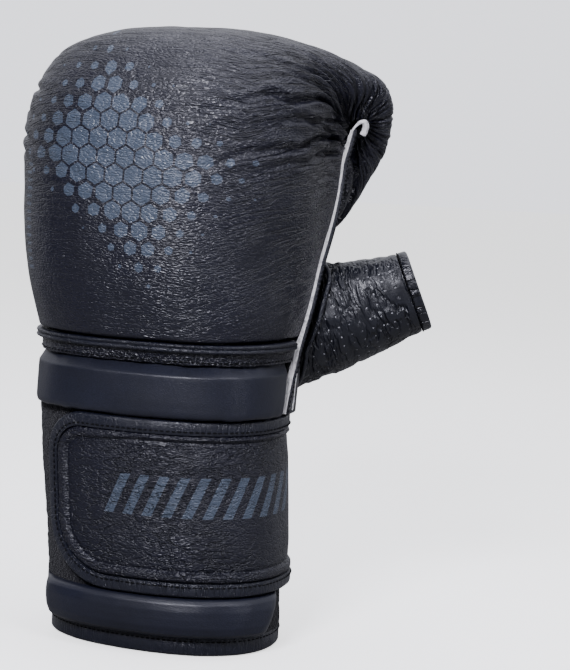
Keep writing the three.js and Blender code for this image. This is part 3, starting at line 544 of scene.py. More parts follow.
# Columns: depth, height, width, pad, power, recess, side
sections = [
    (0.048, 0.0, 0.807, 0.38, 2.7, 0.0, 0.0),
    (0.012, 0.16, 0.87, 0.52, 2.7, 0.0, 0.17),
    (0.0, 0.36, 0.93, 0.8, 2.7, 0.1, 0.4),
    (0.01, 0.57, 0.98, 0.98, 2.8, 0.3, 0.64),
    (0.06, 0.785, 0.995, 1.0, 2.85, 0.65, 0.88),
    (0.185, 0.945, 1.0, 0.96, 2.65, 0.9, 1.06),
    (0.37, 1.0, 1.01, 0.92, 2.6, 1.0, 1.22),
    (0.59, 0.985, 1.06, 0.9, 3.1, 1.0, 1.4),
    (0.8, 0.9, 1.09, 0.86, 3.6, 1.0, 1.56),
    (0.955, 0.755, 1.09, 0.8, 3.6, 0.95, 1.7),
    (1.0, 0.575, 1.07, 0.68, 3.5, 0.85, 1.82),
    (0.97, 0.39, 1.01, 0.5, 3.3, 0.7, 1.92),
    (0.89, 0.255, 0.96, 0.3, 3.0, 0.5, 2.0)]
lastSection = len(sections) - 1
lastRecess = 8.5


def sectionMiddle(place):
    row = tableAt(sections, place)
    return mitt["back"] + row[0] * mitt["depth"], mitt["bottom"] + row[1] * mitt["height"]


def innerMiddle(place):
    a = sectionMiddle(max(0, place - 0.02))
    b = sectionMiddle(min(lastSection, place + 0.02))
    size = math.hypot(b[0] - a[0], b[1] - a[1])
    inward = ((b[1] - a[1]) / size, (a[0] - b[0]) / size)
    pad = float(tableAt(sections, place)[3]) * mitt["pad"]
    y, z = sectionMiddle(place)
    return (y + inward[0] * pad, mitt["bottom"] if place == 0 else z + inward[1] * pad), inward


def mittRows(places, columns, inside=False):
    rows = []
    for place in places:
        row = tableAt(sections, place)
        end = [float(c) for c in seamPoint(np.clip(row[6], 0, 2))]
        halfWidth = row[2] * mitt["halfWidth"] - (mitt["side"] if inside else 0)
        middle = innerMiddle(place)[0] if inside else sectionMiddle(place)
        power = mitt["innerPower"] if inside else row[4]
        rows.append(archRow(end, middle, halfWidth, power, columns, row[5] * lastRecess))
    return np.array(rows)


def fromBothEnds(grid):
    run = np.array([lengths(row) for row in grid])
    return run, run[:, -1:] - run


# Padded mitt: a foam shell in gathered leather. Valleys run from the arch along constant places.
gathers = {"count": 26, "from": 4.2, "to": 12.4, "depth": 1.9, "reach": 30.0, "pit": 2.6, "pitReach": 7.0}
# Long creases that run level across the back: where each starts at the seam, its slope, depth and reach
longCreases = [(4.05, 0.0155, 1.7, 52.0), (4.4, 0.0165, 2.4, 66.0), (4.75, 0.0150, 2.0, 54.0),
               (5.1, 0.0140, 2.6, 70.0), (5.6, 0.0090, 1.9, 52.0), (6.2, 0.0060, 1.4, 44.0)]
places = np.concatenate([np.linspace(0, 3.1, 73)[:-1], np.linspace(3.1, lastSection, 379)])
mittOuter = mittRows(places, 181)
mittInner = mittRows(places[::6], 46, True)
run, back = fromBothEnds(mittOuter)
placeGrid = wide(places, mittOuter.shape[1])


# A fold's section: a narrow valley between two soft shoulders
def fold(away):
    return 1.25 * np.exp(-away ** 2) - 0.42 * np.exp(-((np.abs(away) - 1.9) / 1.1) ** 2)


def gathered(fromSeam, seed, strength):
    rng = np.random.default_rng(seed)
    spacing = (gathers["to"] - gathers["from"]) / gathers["count"]
    wander = layeredNoise(np.stack([fromSeam / 13, placeGrid * 1.1, placeGrid * 0], -1), 2, seed) * 0.085
    total = np.zeros_like(fromSeam)
    for k in range(gathers["count"]):
        stop = gathers["from"] + (k + rng.uniform(0.2, 0.8)) * spacing
        width = spacing * rng.uniform(0.13, 0.22)
        ease = 1 - 0.5 * smooth(stop, 7.0, 8.6)
        depth = gathers["depth"] * rng.uniform(0.45, 1.2) * ease
        spread = 1.25 if stop < 6 else 0.9 if stop < 7.2 else 0.6
        reach = gathers["reach"] * rng.uniform(0.4, 1.3) * spread
        centre = stop + rng.uniform(-0.2, 0.2) * fromSeam / 45 + wander * rng.uniform(0.5, 1.5)
        shape = fold((placeGrid - centre) / (width * (1 + fromSeam / 220)))
        pits = gathers["pit"] * ease * np.exp(-(fromSeam / gathers["pitReach"]) ** 2)
        total -= shape * (depth * np.exp(-(fromSeam / reach) ** 2) + pits)
    for stop, slope, depth, reach in longCreases:
        centre = stop - slope * fromSeam + 0.03 * np.sin(fromSeam / 5.5 + stop * 9) + wander * 0.8
        shape = fold((placeGrid - centre) / (0.042 + 0.0004 * fromSeam))
        total -= shape * depth * np.exp(-(fromSeam / reach) ** 2) * smooth(fromSeam, 0, 5)
    total += smooth(placeGrid, 3.4, 4.8) * 1.9 * np.exp(-((fromSeam - 13) / 10) ** 2)
    fine = layeredNoise(np.stack([fromSeam / 30, placeGrid * 7.5, placeGrid * 0], -1), 3, seed + 9)
    total += fine * 0.45 * np.exp(-fromSeam / 60) * smooth(placeGrid, 2.6, 4.4)
    folds = layeredNoise(np.stack([fromSeam / 20, mittOuter[..., 2] / 4.2, placeGrid * 0], -1), 2, seed + 20)
    upper = smooth(placeGrid, 1.0, 2.4) * (1 - smooth(placeGrid, 3.4, 4.6))
    total += folds * 0.24 * np.exp(-(fromSeam / 26) ** 2) * upper
    return total * strength * (1 - np.exp(-(fromSeam / 0.8) ** 2))


puff = gathered(run, 3, 1.0) + gathered(back, 11, 0.8)
puff += layeredNoise(mittOuter / 34, 3, 40) * 0.7
puff += layeredNoise(mittOuter / 9, 2, 50) * 0.12
puff -= 2.4 * np.exp(-(placeGrid / 0.075) ** 2)
puff -= 1.4 * np.exp(-((lastSection - placeGrid) / 0.1) ** 2)
mittShown = mittOuter + turned(gridNormals(mittOuter), (70, 90), (0, -1.0, 0)) * puff[..., None]
mittUv = np.stack([run, wide(lengths(mittOuter[:, 90]), mittOuter.shape[1])], -1)
paddedMitt = stands(shell("padded_mitt", mittShown, mittInner, grain, mittUv), "grain_leather", "padded_mitt")
print("mitt made")

# Bands between the mitt and the strap, which end at the side seams
wrist = {"halfWidth": 57.297, "power": 2.7, "wallDepth": 38.0, "wallWidth": 51.5, "yokeBottom": 127.2,
         "yokeHeight": 9.0, "yokeThickness": 4.5, "padBottom": 103.85, "padHeight": 23.0, "padThickness": 7.0,
         "weltRadius": 1.9}


def bandRow(z, depth, halfWidth, power, count):
    end = [float(c) for c in seamPoint(seamPlace(z))]
    return archRow(end, (-wrist["wallDepth"] - depth, z), halfWidth, power, count)


def backBand(name, heights, rises, thickness, material, columns, bevel, pucker, seed):
    outer, inner = [], []
    for z, rise in zip(heights, rises):
        halfWidth = wrist["halfWidth"] - thickness * (1 - rise) * 0.4
        outer.append(bandRow(z, thickness * rise, halfWidth, wrist["power"], columns))
        inner.append(bandRow(z, -cuff["wall"], wrist["wallWidth"] - cuff["wall"], cuff["power"], columns))
    outer, inner = np.array(outer), np.array(inner)[::2, ::3]
    out = turned(gridNormals(outer), (len(outer) // 2, columns // 2), (0, -1.0, 0))
    run, back = fromBothEnds(outer)
    fromEnd = np.minimum(run, back)
    away = -bevel * (1 - np.clip(fromEnd / 5.6, 0, 1)) ** 0.9
    away += layeredNoise(outer / 22, 2, seed) * 0.3
    wave = latticeNoise(np.stack([run / 4.2, outer[..., 2] / 16, run * 0], -1), seed + 1)
    fromEdge = np.minimum(outer[..., 2] - heights[0], heights[-1] - outer[..., 2])
    away += wave * pucker * np.exp(-fromEdge / 2.6)
    uv = np.stack([run, outer[..., 2]], -1)
    return shell(name, outer + out * away[..., None], inner, material, uv), outer, out


padAt = np.linspace(0, 1, 45)
padRise = np.interp(padAt, [0, 0.02, 0.06, 0.12, 0.3, 0.6, 0.74, 0.8, 0.9, 0.97, 1.0],
                    [0.62, 0.82, 0.93, 0.98, 1.0, 1.0, 1.0, 0.985, 0.62, 0.36, 0.28])
padZ = wrist["padBottom"] + padAt * wrist["padHeight"]
wristPad, _, _ = backBand("wrist_pad", padZ, padRise, wrist["padThickness"], smoothFace, 241, 2.6, 0.3, 61)
stands(wristPad, "smooth_leather", "wrist_pad")

yokeAt = np.linspace(0, 1, 25)
yokeRise = 0.86 + 0.14 * np.sin(yokeAt * math.pi) ** 0.5
yokeZ = wrist["yokeBottom"] + yokeAt * wrist["yokeHeight"]
yoke, yokeGrid, yokeOut = backBand("wrist_yoke", yokeZ, yokeRise, wrist["yokeThickness"], plainGrain, 241,
                                   0.4, 0.28, 67)
stands(yoke, "grain_leather", "wrist_yoke")
for row in (3, 21):
    stitches(yokeGrid[row, 4:-4], yokeOut[row, 4:-4], 2.4, 1.7, 0.3, 0.12)

# Folded welt with two ridges, a little wider at the little finger's end
weltZ = mitt["bottom"] - seamGap - wrist["weltRadius"]
weltOffset = wrist["yokeThickness"] + wrist["weltRadius"] + seamGap
weltLine = bandRow(weltZ, weltOffset - 0.6, wrist["halfWidth"] + wrist["weltRadius"] + seamGap - 0.6,
                   wrist["power"], 260)[6:-4]
weltOut = turned(np.cross(np.gradient(weltLine, axis=0), [0, 0, 1.0]), 130, (0, -1.0, 0))
weltRidge = [(1.85, -1.9), (1.85, 0.3), (1.45, 0.95), (0.9, 1.15), (0.35, 0.85)]
weltSection = [(-across, out) for across, out in weltRidge] + [(0.0, 0.45)] + weltRidge[::-1]
weltSizes = 1.0 + 0.18 * smooth(np.arange(len(weltLine)), 190, 250)
weltSizes[:3], weltSizes[-3:] = (0.55, 0.8, 0.95), (1.1, 0.9, 0.6)
welt = sweep("wrist_welt", weltLine, weltOut, weltSection, binding, sizes=weltSizes, sharp=60)
stands(welt, "binding_tape", "wrist_welt")
print("wrist made")

# Palm panel: up from the wrist, over a crease inside the curl and down to the grip hem
palm = {"wall": 2.0, "bottom": cuff["height"] + seamGap, "face": 40.5, "creaseDepth": 36.0,
        "creaseTop": 213.55, "power": 2.6}
palmRise = [(0.0, 0.0), (0.14, -0.07), (0.3, 0.02), (0.47, 0.24), (0.65, 0.55), (0.82, 0.83), (0.94, 0.97)]
creaseRadius = palm["wall"] / 2 + 1.2
hemMiddle, hemInward = innerMiddle(lastSection)
palmEnd = [hemMiddle[k] + hemInward[k] * (palm["wall"] + seamGap) for k in (0, 1)]


def between(a, b, t):
    return a + (b - a) * t


# Columns: y, z and the place on the side seam where the row ends
palmMiddles = [(between(palm["face"], palm["creaseDepth"], inward),
                between(palm["bottom"], palm["creaseTop"], up),
                seamPlace(between(palm["bottom"], seam["headZ"], up / 0.94))) for up, inward in palmRise]
palmMiddles += [
    (palm["creaseDepth"] + creaseRadius, palm["creaseTop"] + creaseRadius, 1.5),
    (palm["creaseDepth"] + 2.6 * creaseRadius, between(palm["creaseTop"], palmEnd[1], 0.06), 1.85),
    (between(palm["creaseDepth"], palmEnd[0], 0.66), between(palm["creaseTop"], palmEnd[1], 0.55), 1.95),
    (palmEnd[0], palmEnd[1], 2.0)]


def palmHalfWidth(side):
    rows = np.array(sections)
    seamX = rows[:, 2] * mitt["halfWidth"] - rows[:, 5] * lastRecess
    return np.where(np.asarray(side) <= 0, wrist["halfWidth"], np.interp(side, rows[:, 6], seamX))


def palmSheet(offset, count, columns):
    grid = []
    for place in np.linspace(0, len(palmMiddles) - 1, count):
        y, z, side = tableAt(palmMiddles, place)
        a = tableAt(palmMiddles, max(0, place - 0.05))
        b = tableAt(palmMiddles, min(len(palmMiddles) - 1, place + 0.05))
        size = math.hypot(b[0] - a[0], b[1] - a[1])
        middleY = y + (b[1] - a[1]) / size * offset
        middleZ = palm["bottom"] if place == 0 else z - (b[0] - a[0]) / size * offset
        tucked = np.clip((side - 1) * 1.4, 0, 1) * (mitt["side"] + 2 * seamGap)
        halfWidth = palmHalfWidth(side) - palm["wall"] / 2 + offset - tucked
        foot = [float(c) for c in seamPoint(side, seamGap)]
        grid.append(archRow(foot, (middleY, middleZ), halfWidth, palm["power"], columns))
    return np.array(grid)


# The thumb's tube on its bent axis
thumb = {"root": (37.985, 38.0, 138.962), "bend": (63.971, 44.004, 144.054), "tip": (93.01, 54.986, 157.052),
         "rootHeight": 59.0, "rootWidth": 44.0, "tipHeight": 37.0, "tipWidth": 36.0, "wall": 2.0, "hem": 4.5,
         "hemThickness": 3.0, "hemProud": 0.15, "reachIn": -0.5}
axisEnds = [np.array(thumb[key]) for key in ("root", "bend", "tip")]
axisPoints = np.array([(1 - t) ** 2 * axisEnds[0] + 2 * t * (1 - t) * axisEnds[1] + t * t * axisEnds[2]
                       for t in np.linspace(0, 1, 201)])
thumbLength = lengths(axisPoints)[-1]


def thumbPoint(t, turn, offset=0.0):
    inside = np.clip(t, 0, 1)[..., None]
    a, b, c = axisEnds
    at = (1 - inside) ** 2 * a + 2 * inside * (1 - inside) * b + inside ** 2 * c
    along = 2 * (1 - inside) * (b - a) + 2 * inside * (c - b)
    along /= np.linalg.norm(along, axis=-1, keepdims=True)
    at = at + along * ((t[..., None] - inside) * thumbLength)
    up = np.array([0, 0, 1.0]) - along * along[..., 2:3]
    up /= np.linalg.norm(up, axis=-1, keepdims=True)
    across = np.cross(along, up)
    flat = smooth(t, 0.55, 1.0)
    power = 2 + 0.5 * flat
    halfHeight = between(thumb["rootHeight"], thumb["tipHeight"], np.clip(t, 0, 1)) / 2 + offset
    halfWidth = between(thumb["rootWidth"], thumb["tipWidth"], np.clip(t, 0, 1)) / 2 + offset
    side = across * (halfWidth * bent(np.cos(turn), power))[..., None]
    rise = up * (halfHeight * bent(np.sin(turn), power))[..., None]
    return at + side + rise, at, along


upTable = np.array([[p, float(tableAt(palmRise, p)[0])] for p in np.linspace(0, 6, 121)])


# Below 0 inside the palm panel's outer face, above 0 outside it
def palmField(points):
    up = (points[..., 2] - palm["bottom"]) / (palm["creaseTop"] - palm["bottom"])
    row = tableAt(palmMiddles, np.interp(up, upTable[:, 1], upTable[:, 0]))
    endY, _ = seamPoint(row[2], seamGap)
    middleY = row[0] + palm["wall"] / 2
    u = np.abs(points[..., 0]) / palmHalfWidth(row[2])
    v = np.maximum(0, points[..., 1] - endY) / (middleY - endY)
    return (u ** palm["power"] + v ** palm["power"]) ** (1 / palm["power"]) - 1


def thumbRoot(turns, offset=0.0):
    low = np.full(turns.shape, thumb["reachIn"])
    high = np.ones(turns.shape)
    for _ in range(30):
        half = (low + high) / 2
        within = palmField(thumbPoint(half, turns, offset)[0]) < 0
        low, high = np.where(within, half, low), np.where(within, high, half)
    return high


turns = np.linspace(0, 2 * math.pi, 192, endpoint=False)
rootAt = thumbRoot(turns) + 0.35 / thumbLength
share = np.linspace(0, 1, 121)
tubeAt = rootAt[:, None] + (1 - rootAt[:, None]) * share[None]
turnGrid = wide(turns, 121)
tubeOuter, tubeAxis, _ = thumbPoint(tubeAt, turnGrid)
tubeInner = thumbPoint(tubeAt, turnGrid, -thumb["wall"])[0][::2, ::4]
tubeOut = tubeOuter - tubeAxis
tubeOut /= np.linalg.norm(tubeOut, axis=-1, keepdims=True)
tubeRun = tubeAt * thumbLength
circlePlace = np.stack([np.cos(turnGrid) * 1.35, np.sin(turnGrid) * 1.35, tubeRun / 6.2], -1)
bentPlace = circlePlace + layeredNoise(circlePlace * 0.7, 2, 70)[..., None] * 0.5
wrinkles = 1 - 2 * np.abs(layeredNoise(bentPlace, 3, 71))
wrinkles = wrinkles * 0.7 + layeredNoise(circlePlace * 0.5, 2, 75) * 0.6
ease = smooth(share, 0.0, 0.06) * (1 - smooth(share, 0.95, 1.0))
rootFolds = np.sin(turnGrid * 23 + latticeNoise(circlePlace, 78) * 2.5) * np.exp(-share * 9) * 0.4
lessAtTip = 1 - 0.55 * smooth(share, 0.45, 0.85)
tubeOuter = tubeOuter + tubeOut * ((wrinkles * 0.8 * lessAtTip + rootFolds) * ease)[..., None]
# The texture's seam is on the palm side
tubeUv = np.stack([tubeRun, (turnGrid + math.pi) % (2 * math.pi) * 22.0], -1)
thumbTube = shell("thumb_tube", tubeOuter, tubeInner, perforated, tubeUv, wrapRows=True)
stands(thumbTube, "perforated_leather", "thumb_tube")
print("thumb made")

# Hem round the thumb's open end, with its stitches
hemAt = np.linspace(1 + seamGap / thumbLength, 1 + (seamGap + thumb["hem"]) / thumbLength, 13)
hemTurns = np.linspace(0, 2 * math.pi, 144, endpoint=False)
hemT, hemTurn = np.meshgrid(hemAt, hemTurns)
roll = np.sqrt(np.maximum(0, 1 - ((hemAt - hemAt.mean()) / (hemAt[-1] - hemAt[0]) * 2) ** 4))
rolledIn = 0.75 * (1 - roll)[None] + hemTurn * 0
hemOuter = thumbPoint(hemT, hemTurn, thumb["hemProud"] - rolledIn)[0]
hemInner = thumbPoint(hemT, hemTurn, rolledIn - thumb["hemThickness"])[0]
wave = layeredNoise(hemOuter / 7, 2, 81)[..., None] * 0.22
hemCentre = thumbPoint(hemT, hemTurn)[1]
hemDirection = (hemOuter - hemCentre) / np.linalg.norm(hemOuter - hemCentre, axis=-1, keepdims=True)
hemOuter = hemOuter + hemDirection * wave
hemUv = np.stack([hemTurn * 18, hemT * thumbLength], -1)
thumbHem = shell("thumb_hem", hemOuter, hemInner, thumbEnd, hemUv, wrapRows=True, sharp=60)
stands(thumbHem, "binding_tape", "thumb_hem")
stitches(hemOuter[:, 1], hemDirection[:, 1], 2.3, 1.7, 0.32, 0.2, closed=True)


# Welt where the thumb is sewn to the palm panel
def fieldNormal(points):
    here = palmField(points)
    change = [palmField(points + step) - here for step in np.eye(3) * 0.5]
    out = np.stack(change, -1)
    return out / np.linalg.norm(out, axis=-1, keepdims=True)


weltTurns = np.linspace(0, 2 * math.pi, 160, endpoint=False)
edgeAt = thumbRoot(weltTurns)
edge, edgeCentre, edgeAlong = thumbPoint(edgeAt, weltTurns)
tubeSide = edge - edgeCentre
tubeSide -= edgeAlong * np.sum(tubeSide * edgeAlong, axis=1, keepdims=True)
tubeSide /= np.linalg.norm(tubeSide, axis=1, keepdims=True)
palmOut = fieldNormal(edge)
spread = (1.1 + 2 * seamGap) / (1 + np.sum(tubeSide * palmOut, axis=1))
edge = edge + (tubeSide + palmOut) * spread[:, None]
thumbWelt = sweep("thumb_welt", edge, tubeSide + palmOut, circle(1.05, 12), binding, closed=True)
stands(thumbWelt, "binding_tape", "thumb_welt")

# The palm panel with the hole that opens into the thumb
panelOuter, panelInner = palmSheet(1.0, 161, 121), palmSheet(-1.0, 81, 61)
panelOut = turned(gridNormals(panelOuter), (20, 60), (0, 1.0, 0))
panelRun, panelBack = fromBothEnds(panelOuter)
panelDown = lengths(panelOuter[:, 60])
panelCrease = layeredNoise(np.stack([panelRun / 16, wide(panelDown / 7, 121), panelRun * 0], -1), 3, 91)
panelFade = smooth(np.minimum(panelRun, panelBack), 0, 10) * smooth(panelDown, 0, 10)[:, None]
panelOuter = panelOuter + panelOut * (panelCrease * 0.35 * panelFade)[..., None]
panelUv = np.stack([panelRun, wide(panelDown, 121)], -1)
palmPanel = shell("palm_panel", panelOuter, panelInner, perforated, panelUv)
boreTurn, boreAt = np.meshgrid(np.linspace(0, 2 * math.pi, 96, endpoint=False), [-0.5, -0.2, 0.1, 0.5])
bore = solid("bore", thumbPoint(boreAt, boreTurn, -thumb["wall"])[0], ringFaces(4, 96))
cut = palmPanel.modifiers.new("thumbHole", "BOOLEAN")
cut.operation, cut.object, cut.solver = "DIFFERENCE", bore, "EXACT"
evaluated = palmPanel.evaluated_get(bpy.context.evaluated_depsgraph_get())
holed = bpy.data.meshes.new_from_object(evaluated)
palmPanel.modifiers.clear()
palmPanel.data = holed
holed.set_sharp_from_angle(angle=math.radians(45))
bpy.data.objects.remove(bore)
stands(palmPanel, "perforated_leather", "palm_panel")
print("palm made", len(holed.polygons))

# Piping along both side seams: a raw white edge beside a dark bead on the thumb's side
piping = {"proud": 1.3, "footIn": 2.4, "whiteCount": 153, "lean": 2.2, "beadRadius": 1.3,
          "littleRadius": 1.35, "beadAside": (0.1, 1.7, 0.0), "hookEnd": 0.74, "hookCount": 61}
pipeSides = np.concatenate([np.linspace(seamPlace(palm["bottom"] + 0.3), 1, 150),
                            1 + np.linspace(0, piping["hookEnd"], 50)[1:]])
pipeY, pipeZ = seamPoint(pipeSides)
pipeX = evened(palmHalfWidth(pipeSides) + piping["proud"], 8)
pipeX -= piping["footIn"] * (1 - smooth(pipeZ, 104, 136))
pipeLine = np.stack([pipeX, pipeY, pipeZ], 1)
pipeLine += layeredNoise(pipeLine / 14, 2, 95)[:, None] * np.array([0.25, 0.4, 0.0])
pipeOut = np.repeat([[1.0, -0.25, 0.0]], len(pipeLine), axis=0)
whiteSides, whiteOut = pipeSides[:piping["whiteCount"]], pipeOut[:piping["whiteCount"]]
whiteLine = pipeLine[:piping["whiteCount"]].copy()
whiteLine[:, 0] += smooth(whiteSides, 0.8, 1.0) * piping["lean"]
whiteSizes = 0.85 + 0.6 * (1 - smooth(whiteSides, -0.2, 0.12)) + layeredNoise(whiteLine / 3, 2, 96) * 0.22
whiteSizes[-5:] *= (0.9, 0.8, 0.65, 0.5, 0.35)
whiteSection = [(-0.38, -1.5), (-0.38, 0.2), (-0.22, 0.42), (0.22, 0.42), (0.38, 0.2), (0.38, -1.5)]
whitePipe = sweep("side_piping_thumb", whiteLine, whiteOut, whiteSection, whiteEdge, sizes=whiteSizes)
stands(whitePipe, "white_piping", "side_piping_thumb")
beadLine = whiteLine + np.array(piping["beadAside"])
bead = sweep("piping_bead", beadLine, whiteOut, circle(piping["beadRadius"]), binding)
stands(bead, "binding_tape", "side_piping_thumb")
stitches(beadLine, whiteOut, 2.2, 1.3, 0.3, 1.25)

# The white edge ends in a tight hook over the arch, thicker than the strip
# Its stops are measured from the strip's end
hookStops = whiteLine[-4] + np.array([(0, 0, -2), (0, 0, 0.4), (1.1, 2.2, 3.6), (2.3, 4.2, 5.0),
                                      (3.2, 6.0, 3.6), (2.5, 7.2, 0.8), (1.2, 7.2, -2.0)])
hookShare = np.linspace(0, 1, piping["hookCount"])
hookLine = np.stack([evened(np.interp(hookShare * 6, np.arange(7), stops), 6) for stops in hookStops.T], 1)
hookSizes = 0.45 + smooth(hookShare, 0.15, 0.75) + latticeNoise(hookLine / 1.5, 94) * 0.08
hookSizes[-3:] *= (0.95, 0.8, 0.5)
hookOut = pipeOut[:piping["hookCount"]]
hook = sweep("piping_hook", hookLine, hookOut, circle(1.0, 12), whiteEdge, sizes=hookSizes)
stands(hook, "white_piping", "side_piping_thumb")
mirror = np.array([-1.0, 1, 1])
littleSection = circle(piping["littleRadius"])
littlePipe = sweep("side_piping_little", pipeLine * mirror, pipeOut * mirror, littleSection, binding)
stands(littlePipe, "binding_tape", "side_piping_little")

# A raw edge runs beside the piping, low on the palm panel: a thin bead in the white piping's material, whose
# pale colour is a painted highlight along that edge
pale = {"aside": 5.0, "from": 105, "to": 151, "radius": 0.3}
paleRows = np.nonzero((panelOuter[:, 0, 2] > pale["from"]) & (panelOuter[:, 0, 2] < pale["to"]))[0]
paleColumn = int(np.argmin(np.abs(panelRun[20] - pale["aside"])))
paleOut = panelOut[paleRows, paleColumn]
paleLine = panelOuter[paleRows, paleColumn] + paleOut * 0.2
paleSizes = 1 + latticeNoise(paleLine / 1.7, 98) * 0.3
# The bead stands for a real raw edge, and its white colour is a painted highlight
paleSeamHighlight = sweep("pale_seam_highlight", paleLine, paleOut, circle(pale["radius"], 8), whiteEdge, sizes=paleSizes)

# Rolled hem along the end of the curl, which the fingers close on
hemOutside = mittRows(np.array([lastSection]), 121)[0]
hemInside = mittRows(np.array([lastSection]), 121, True)[0]
hemLine = (hemOutside + hemInside) / 2
lineAlong = np.gradient(hemLine, axis=0)
hemAway = np.cross(hemInside - hemOutside, lineAlong)
hemAway /= np.maximum(np.linalg.norm(hemAway, axis=1, keepdims=True), 1e-9)
hemAway *= -np.sign(hemAway[:, 2:3])
gripRadius = 3.15
gripLine = (hemLine + hemAway * (gripRadius + 0.05 + seamGap))[6:-6]
gripSizes = 1 + layeredNoise(gripLine / 9, 2, 97) * 0.05
gripSizes[:3], gripSizes[-3:] = (0.5, 0.8, 0.95), (0.95, 0.8, 0.5)
gripHem = sweep("grip_hem", gripLine, -hemAway[6:-6], circle(gripRadius, 18), plainGrain, sizes=gripSizes)
stands(gripHem, "binding_tape", "grip_hem")

# Cuff: points at an angle and height, found by the length along the wall at mid height
girthAngles = np.linspace(0, 2 * math.pi, 1441)


def cuffPoint(angle, z, offset):
    t = z / cuff["height"]
    a = between(cuff["widthBottom"], cuff["widthTop"], t) / 2 + offset
    b = between(cuff["depthBottom"], cuff["depthTop"], t) / 2 + offset
    x, y = a * bent(np.cos(angle), cuff["power"]), b * bent(np.sin(angle), cuff["power"])
    return np.stack(np.broadcast_arrays(x + cuff["lean"] * (1 - t) - cuff["topShift"] * t, y, z), -1)


girthAt = lengths(cuffPoint(girthAngles, cuff["height"] / 2, 0))
girth = girthAt[-1]


def lengthAt(degreesRound):
    whole, rest = divmod(math.radians(degreesRound), 2 * math.pi)
    return whole * girth + float(np.interp(rest, girthAngles, girthAt))


def angleAt(length):
    whole = np.floor(np.asarray(length) / girth)
    return whole * 2 * math.pi + np.interp(length - whole * girth, girthAt, girthAngles)


def outwardAt(angle, z):
    ahead, behind = cuffPoint(angle + 0.01, z, 0), cuffPoint(angle - 0.01, z, 0)
    along = (ahead - behind) / np.linalg.norm(ahead - behind, axis=-1, keepdims=True)
    return np.stack([along[..., 1], -along[..., 0], along[..., 0] * 0], -1), along


slitMiddle = lengthAt(90)
cuffStart = slitMiddle + cuff["slit"] / 2 + cuff["tape"]
cuffLength = girth - cuff["slit"] - 2 * cuff["tape"]
wallRadius = cuff["flapRadius"] - cuff["tape"]


def cornerRise(fromEdge):
    inside = np.clip(wallRadius - fromEdge, 0, wallRadius)
    return wallRadius - np.sqrt(wallRadius ** 2 - inside ** 2)


cornerStops = wallRadius * (1 - np.cos(np.linspace(0, math.pi / 2, 13)))
stops = np.concatenate([cornerStops[:-1], np.linspace(wallRadius, cuffLength - wallRadius, 257),
                        cuffLength - cornerStops[::-1][1:]])
wallShare = np.linspace(0, 1, 41)
wallBottom = cuff["tape"] + cornerRise(np.minimum(stops, cuffLength - stops))
wallZ = between(wallBottom[:, None], cuff["height"], wallShare[None])
wallAngle = wide(angleAt(cuffStart + stops), 41)
wallOuter = cuffPoint(wallAngle, wallZ, 0)
wallFade = smooth(wallShare, 0, 0.1) * (1 - smooth(wallShare, 0.9, 1))
wallWave = layeredNoise(wallOuter / 20, 3, 101) * 0.4 * wallFade
wallOut, _ = outwardAt(wallAngle, wallZ)
wallInner = cuffPoint(wallAngle, wallZ, -cuff["wall"]) + wallOut * wallWave[..., None]
wallUv = np.stack([wide(stops, 41), wallZ], -1)
cuffWall = shell("cuff_wall", wallOuter, wallInner[::2, ::2], lining, wallUv)
stands(cuffWall, "perforated_leather", "cuff_wall")


# Tape round the cuff's edge: down one side of the slit, round the bottom and up the other side
def edgeFrames(stop, z, sideways, offset):
    angle = angleAt(cuffStart + stop)
    out, along = outwardAt(angle, z)
    across = along * sideways[:, None]
    across[:, 2] -= np.sqrt(np.maximum(0, 1 - sideways ** 2))
    return cuffPoint(angle, z, offset), across, out


corner = np.linspace(0, math.pi / 2, 17)
top = np.linspace(cuff["height"], cuff["tape"] + wallRadius, 45)[:-1]
flat = np.linspace(wallRadius, cuffLength - wallRadius, 261)[1:-1]
edgeStop = np.concatenate([top * 0, wallRadius * (1 - np.cos(corner)), flat,
                           cuffLength - wallRadius * (1 - np.sin(corner)), top * 0 + cuffLength])
edgeZ = np.concatenate([top, cuff["tape"] + wallRadius * (1 - np.sin(corner)), flat * 0 + cuff["tape"],
                        cuff["tape"] + wallRadius * (1 - np.cos(corner)), top[::-1]])
edgeSide = np.concatenate([top * 0 - 1, -np.cos(corner), flat * 0, np.sin(corner), top * 0 + 1])


# The tape's section has a rounded nose and thinner edges, and its faces ripple a little
def tape(name, line, across, out, width, thickness, inset, seed):
    half, count = thickness / 2, len(line)
    nose = [(width - half * 0.62 * (1 - math.cos(a)), half * math.sin(a))
            for a in np.linspace(-math.pi / 2, math.pi / 2, 9)]
    shape = np.array([(inset, -half * 0.86), (inset + 1.2, -half)] + nose +
                     [(inset + 1.2, half), (inset, half * 0.86)])
    swell = np.where(shape[:, 0] > inset + 0.5, 0.16, 0.048) * np.sign(shape[:, 1])
    height = shape[:, 1] + layeredNoise(line / 6, 2, seed)[:, None] * swell
    points = line[:, None] + across[:, None] * shape[None, :, 0:1] + out[:, None] * height[..., None]
    sides = len(shape)
    around = np.repeat(np.arange(sides)[None] * 1.4, count, axis=0)
    uv = np.stack([wide(lengths(line), sides), around], -1).reshape(-1, 2)
    return addMesh(name, points.reshape(-1, 3), ringFaces(count, sides), binding, uv, 50)


edgeLine, edgeAcross, edgeOut = edgeFrames(edgeStop, edgeZ, edgeSide, -cuff["wall"] / 2)
# It overlaps the wall a little, so that no slit shows at the flaps' corners
cuffBinding = tape("cuff_binding", edgeLine, edgeAcross, edgeOut, cuff["tape"], cuff["tapeThickness"],
                   -0.3, 103)
stands(cuffBinding, "binding_tape", "cuff_binding")
for direction in (1, -1):
    face = edgeOut * direction
    stitches(edgeLine + edgeAcross * 1.7 + face * cuff["tapeThickness"] / 2, face, 2.4, 1.7, 0.28, 0.12)


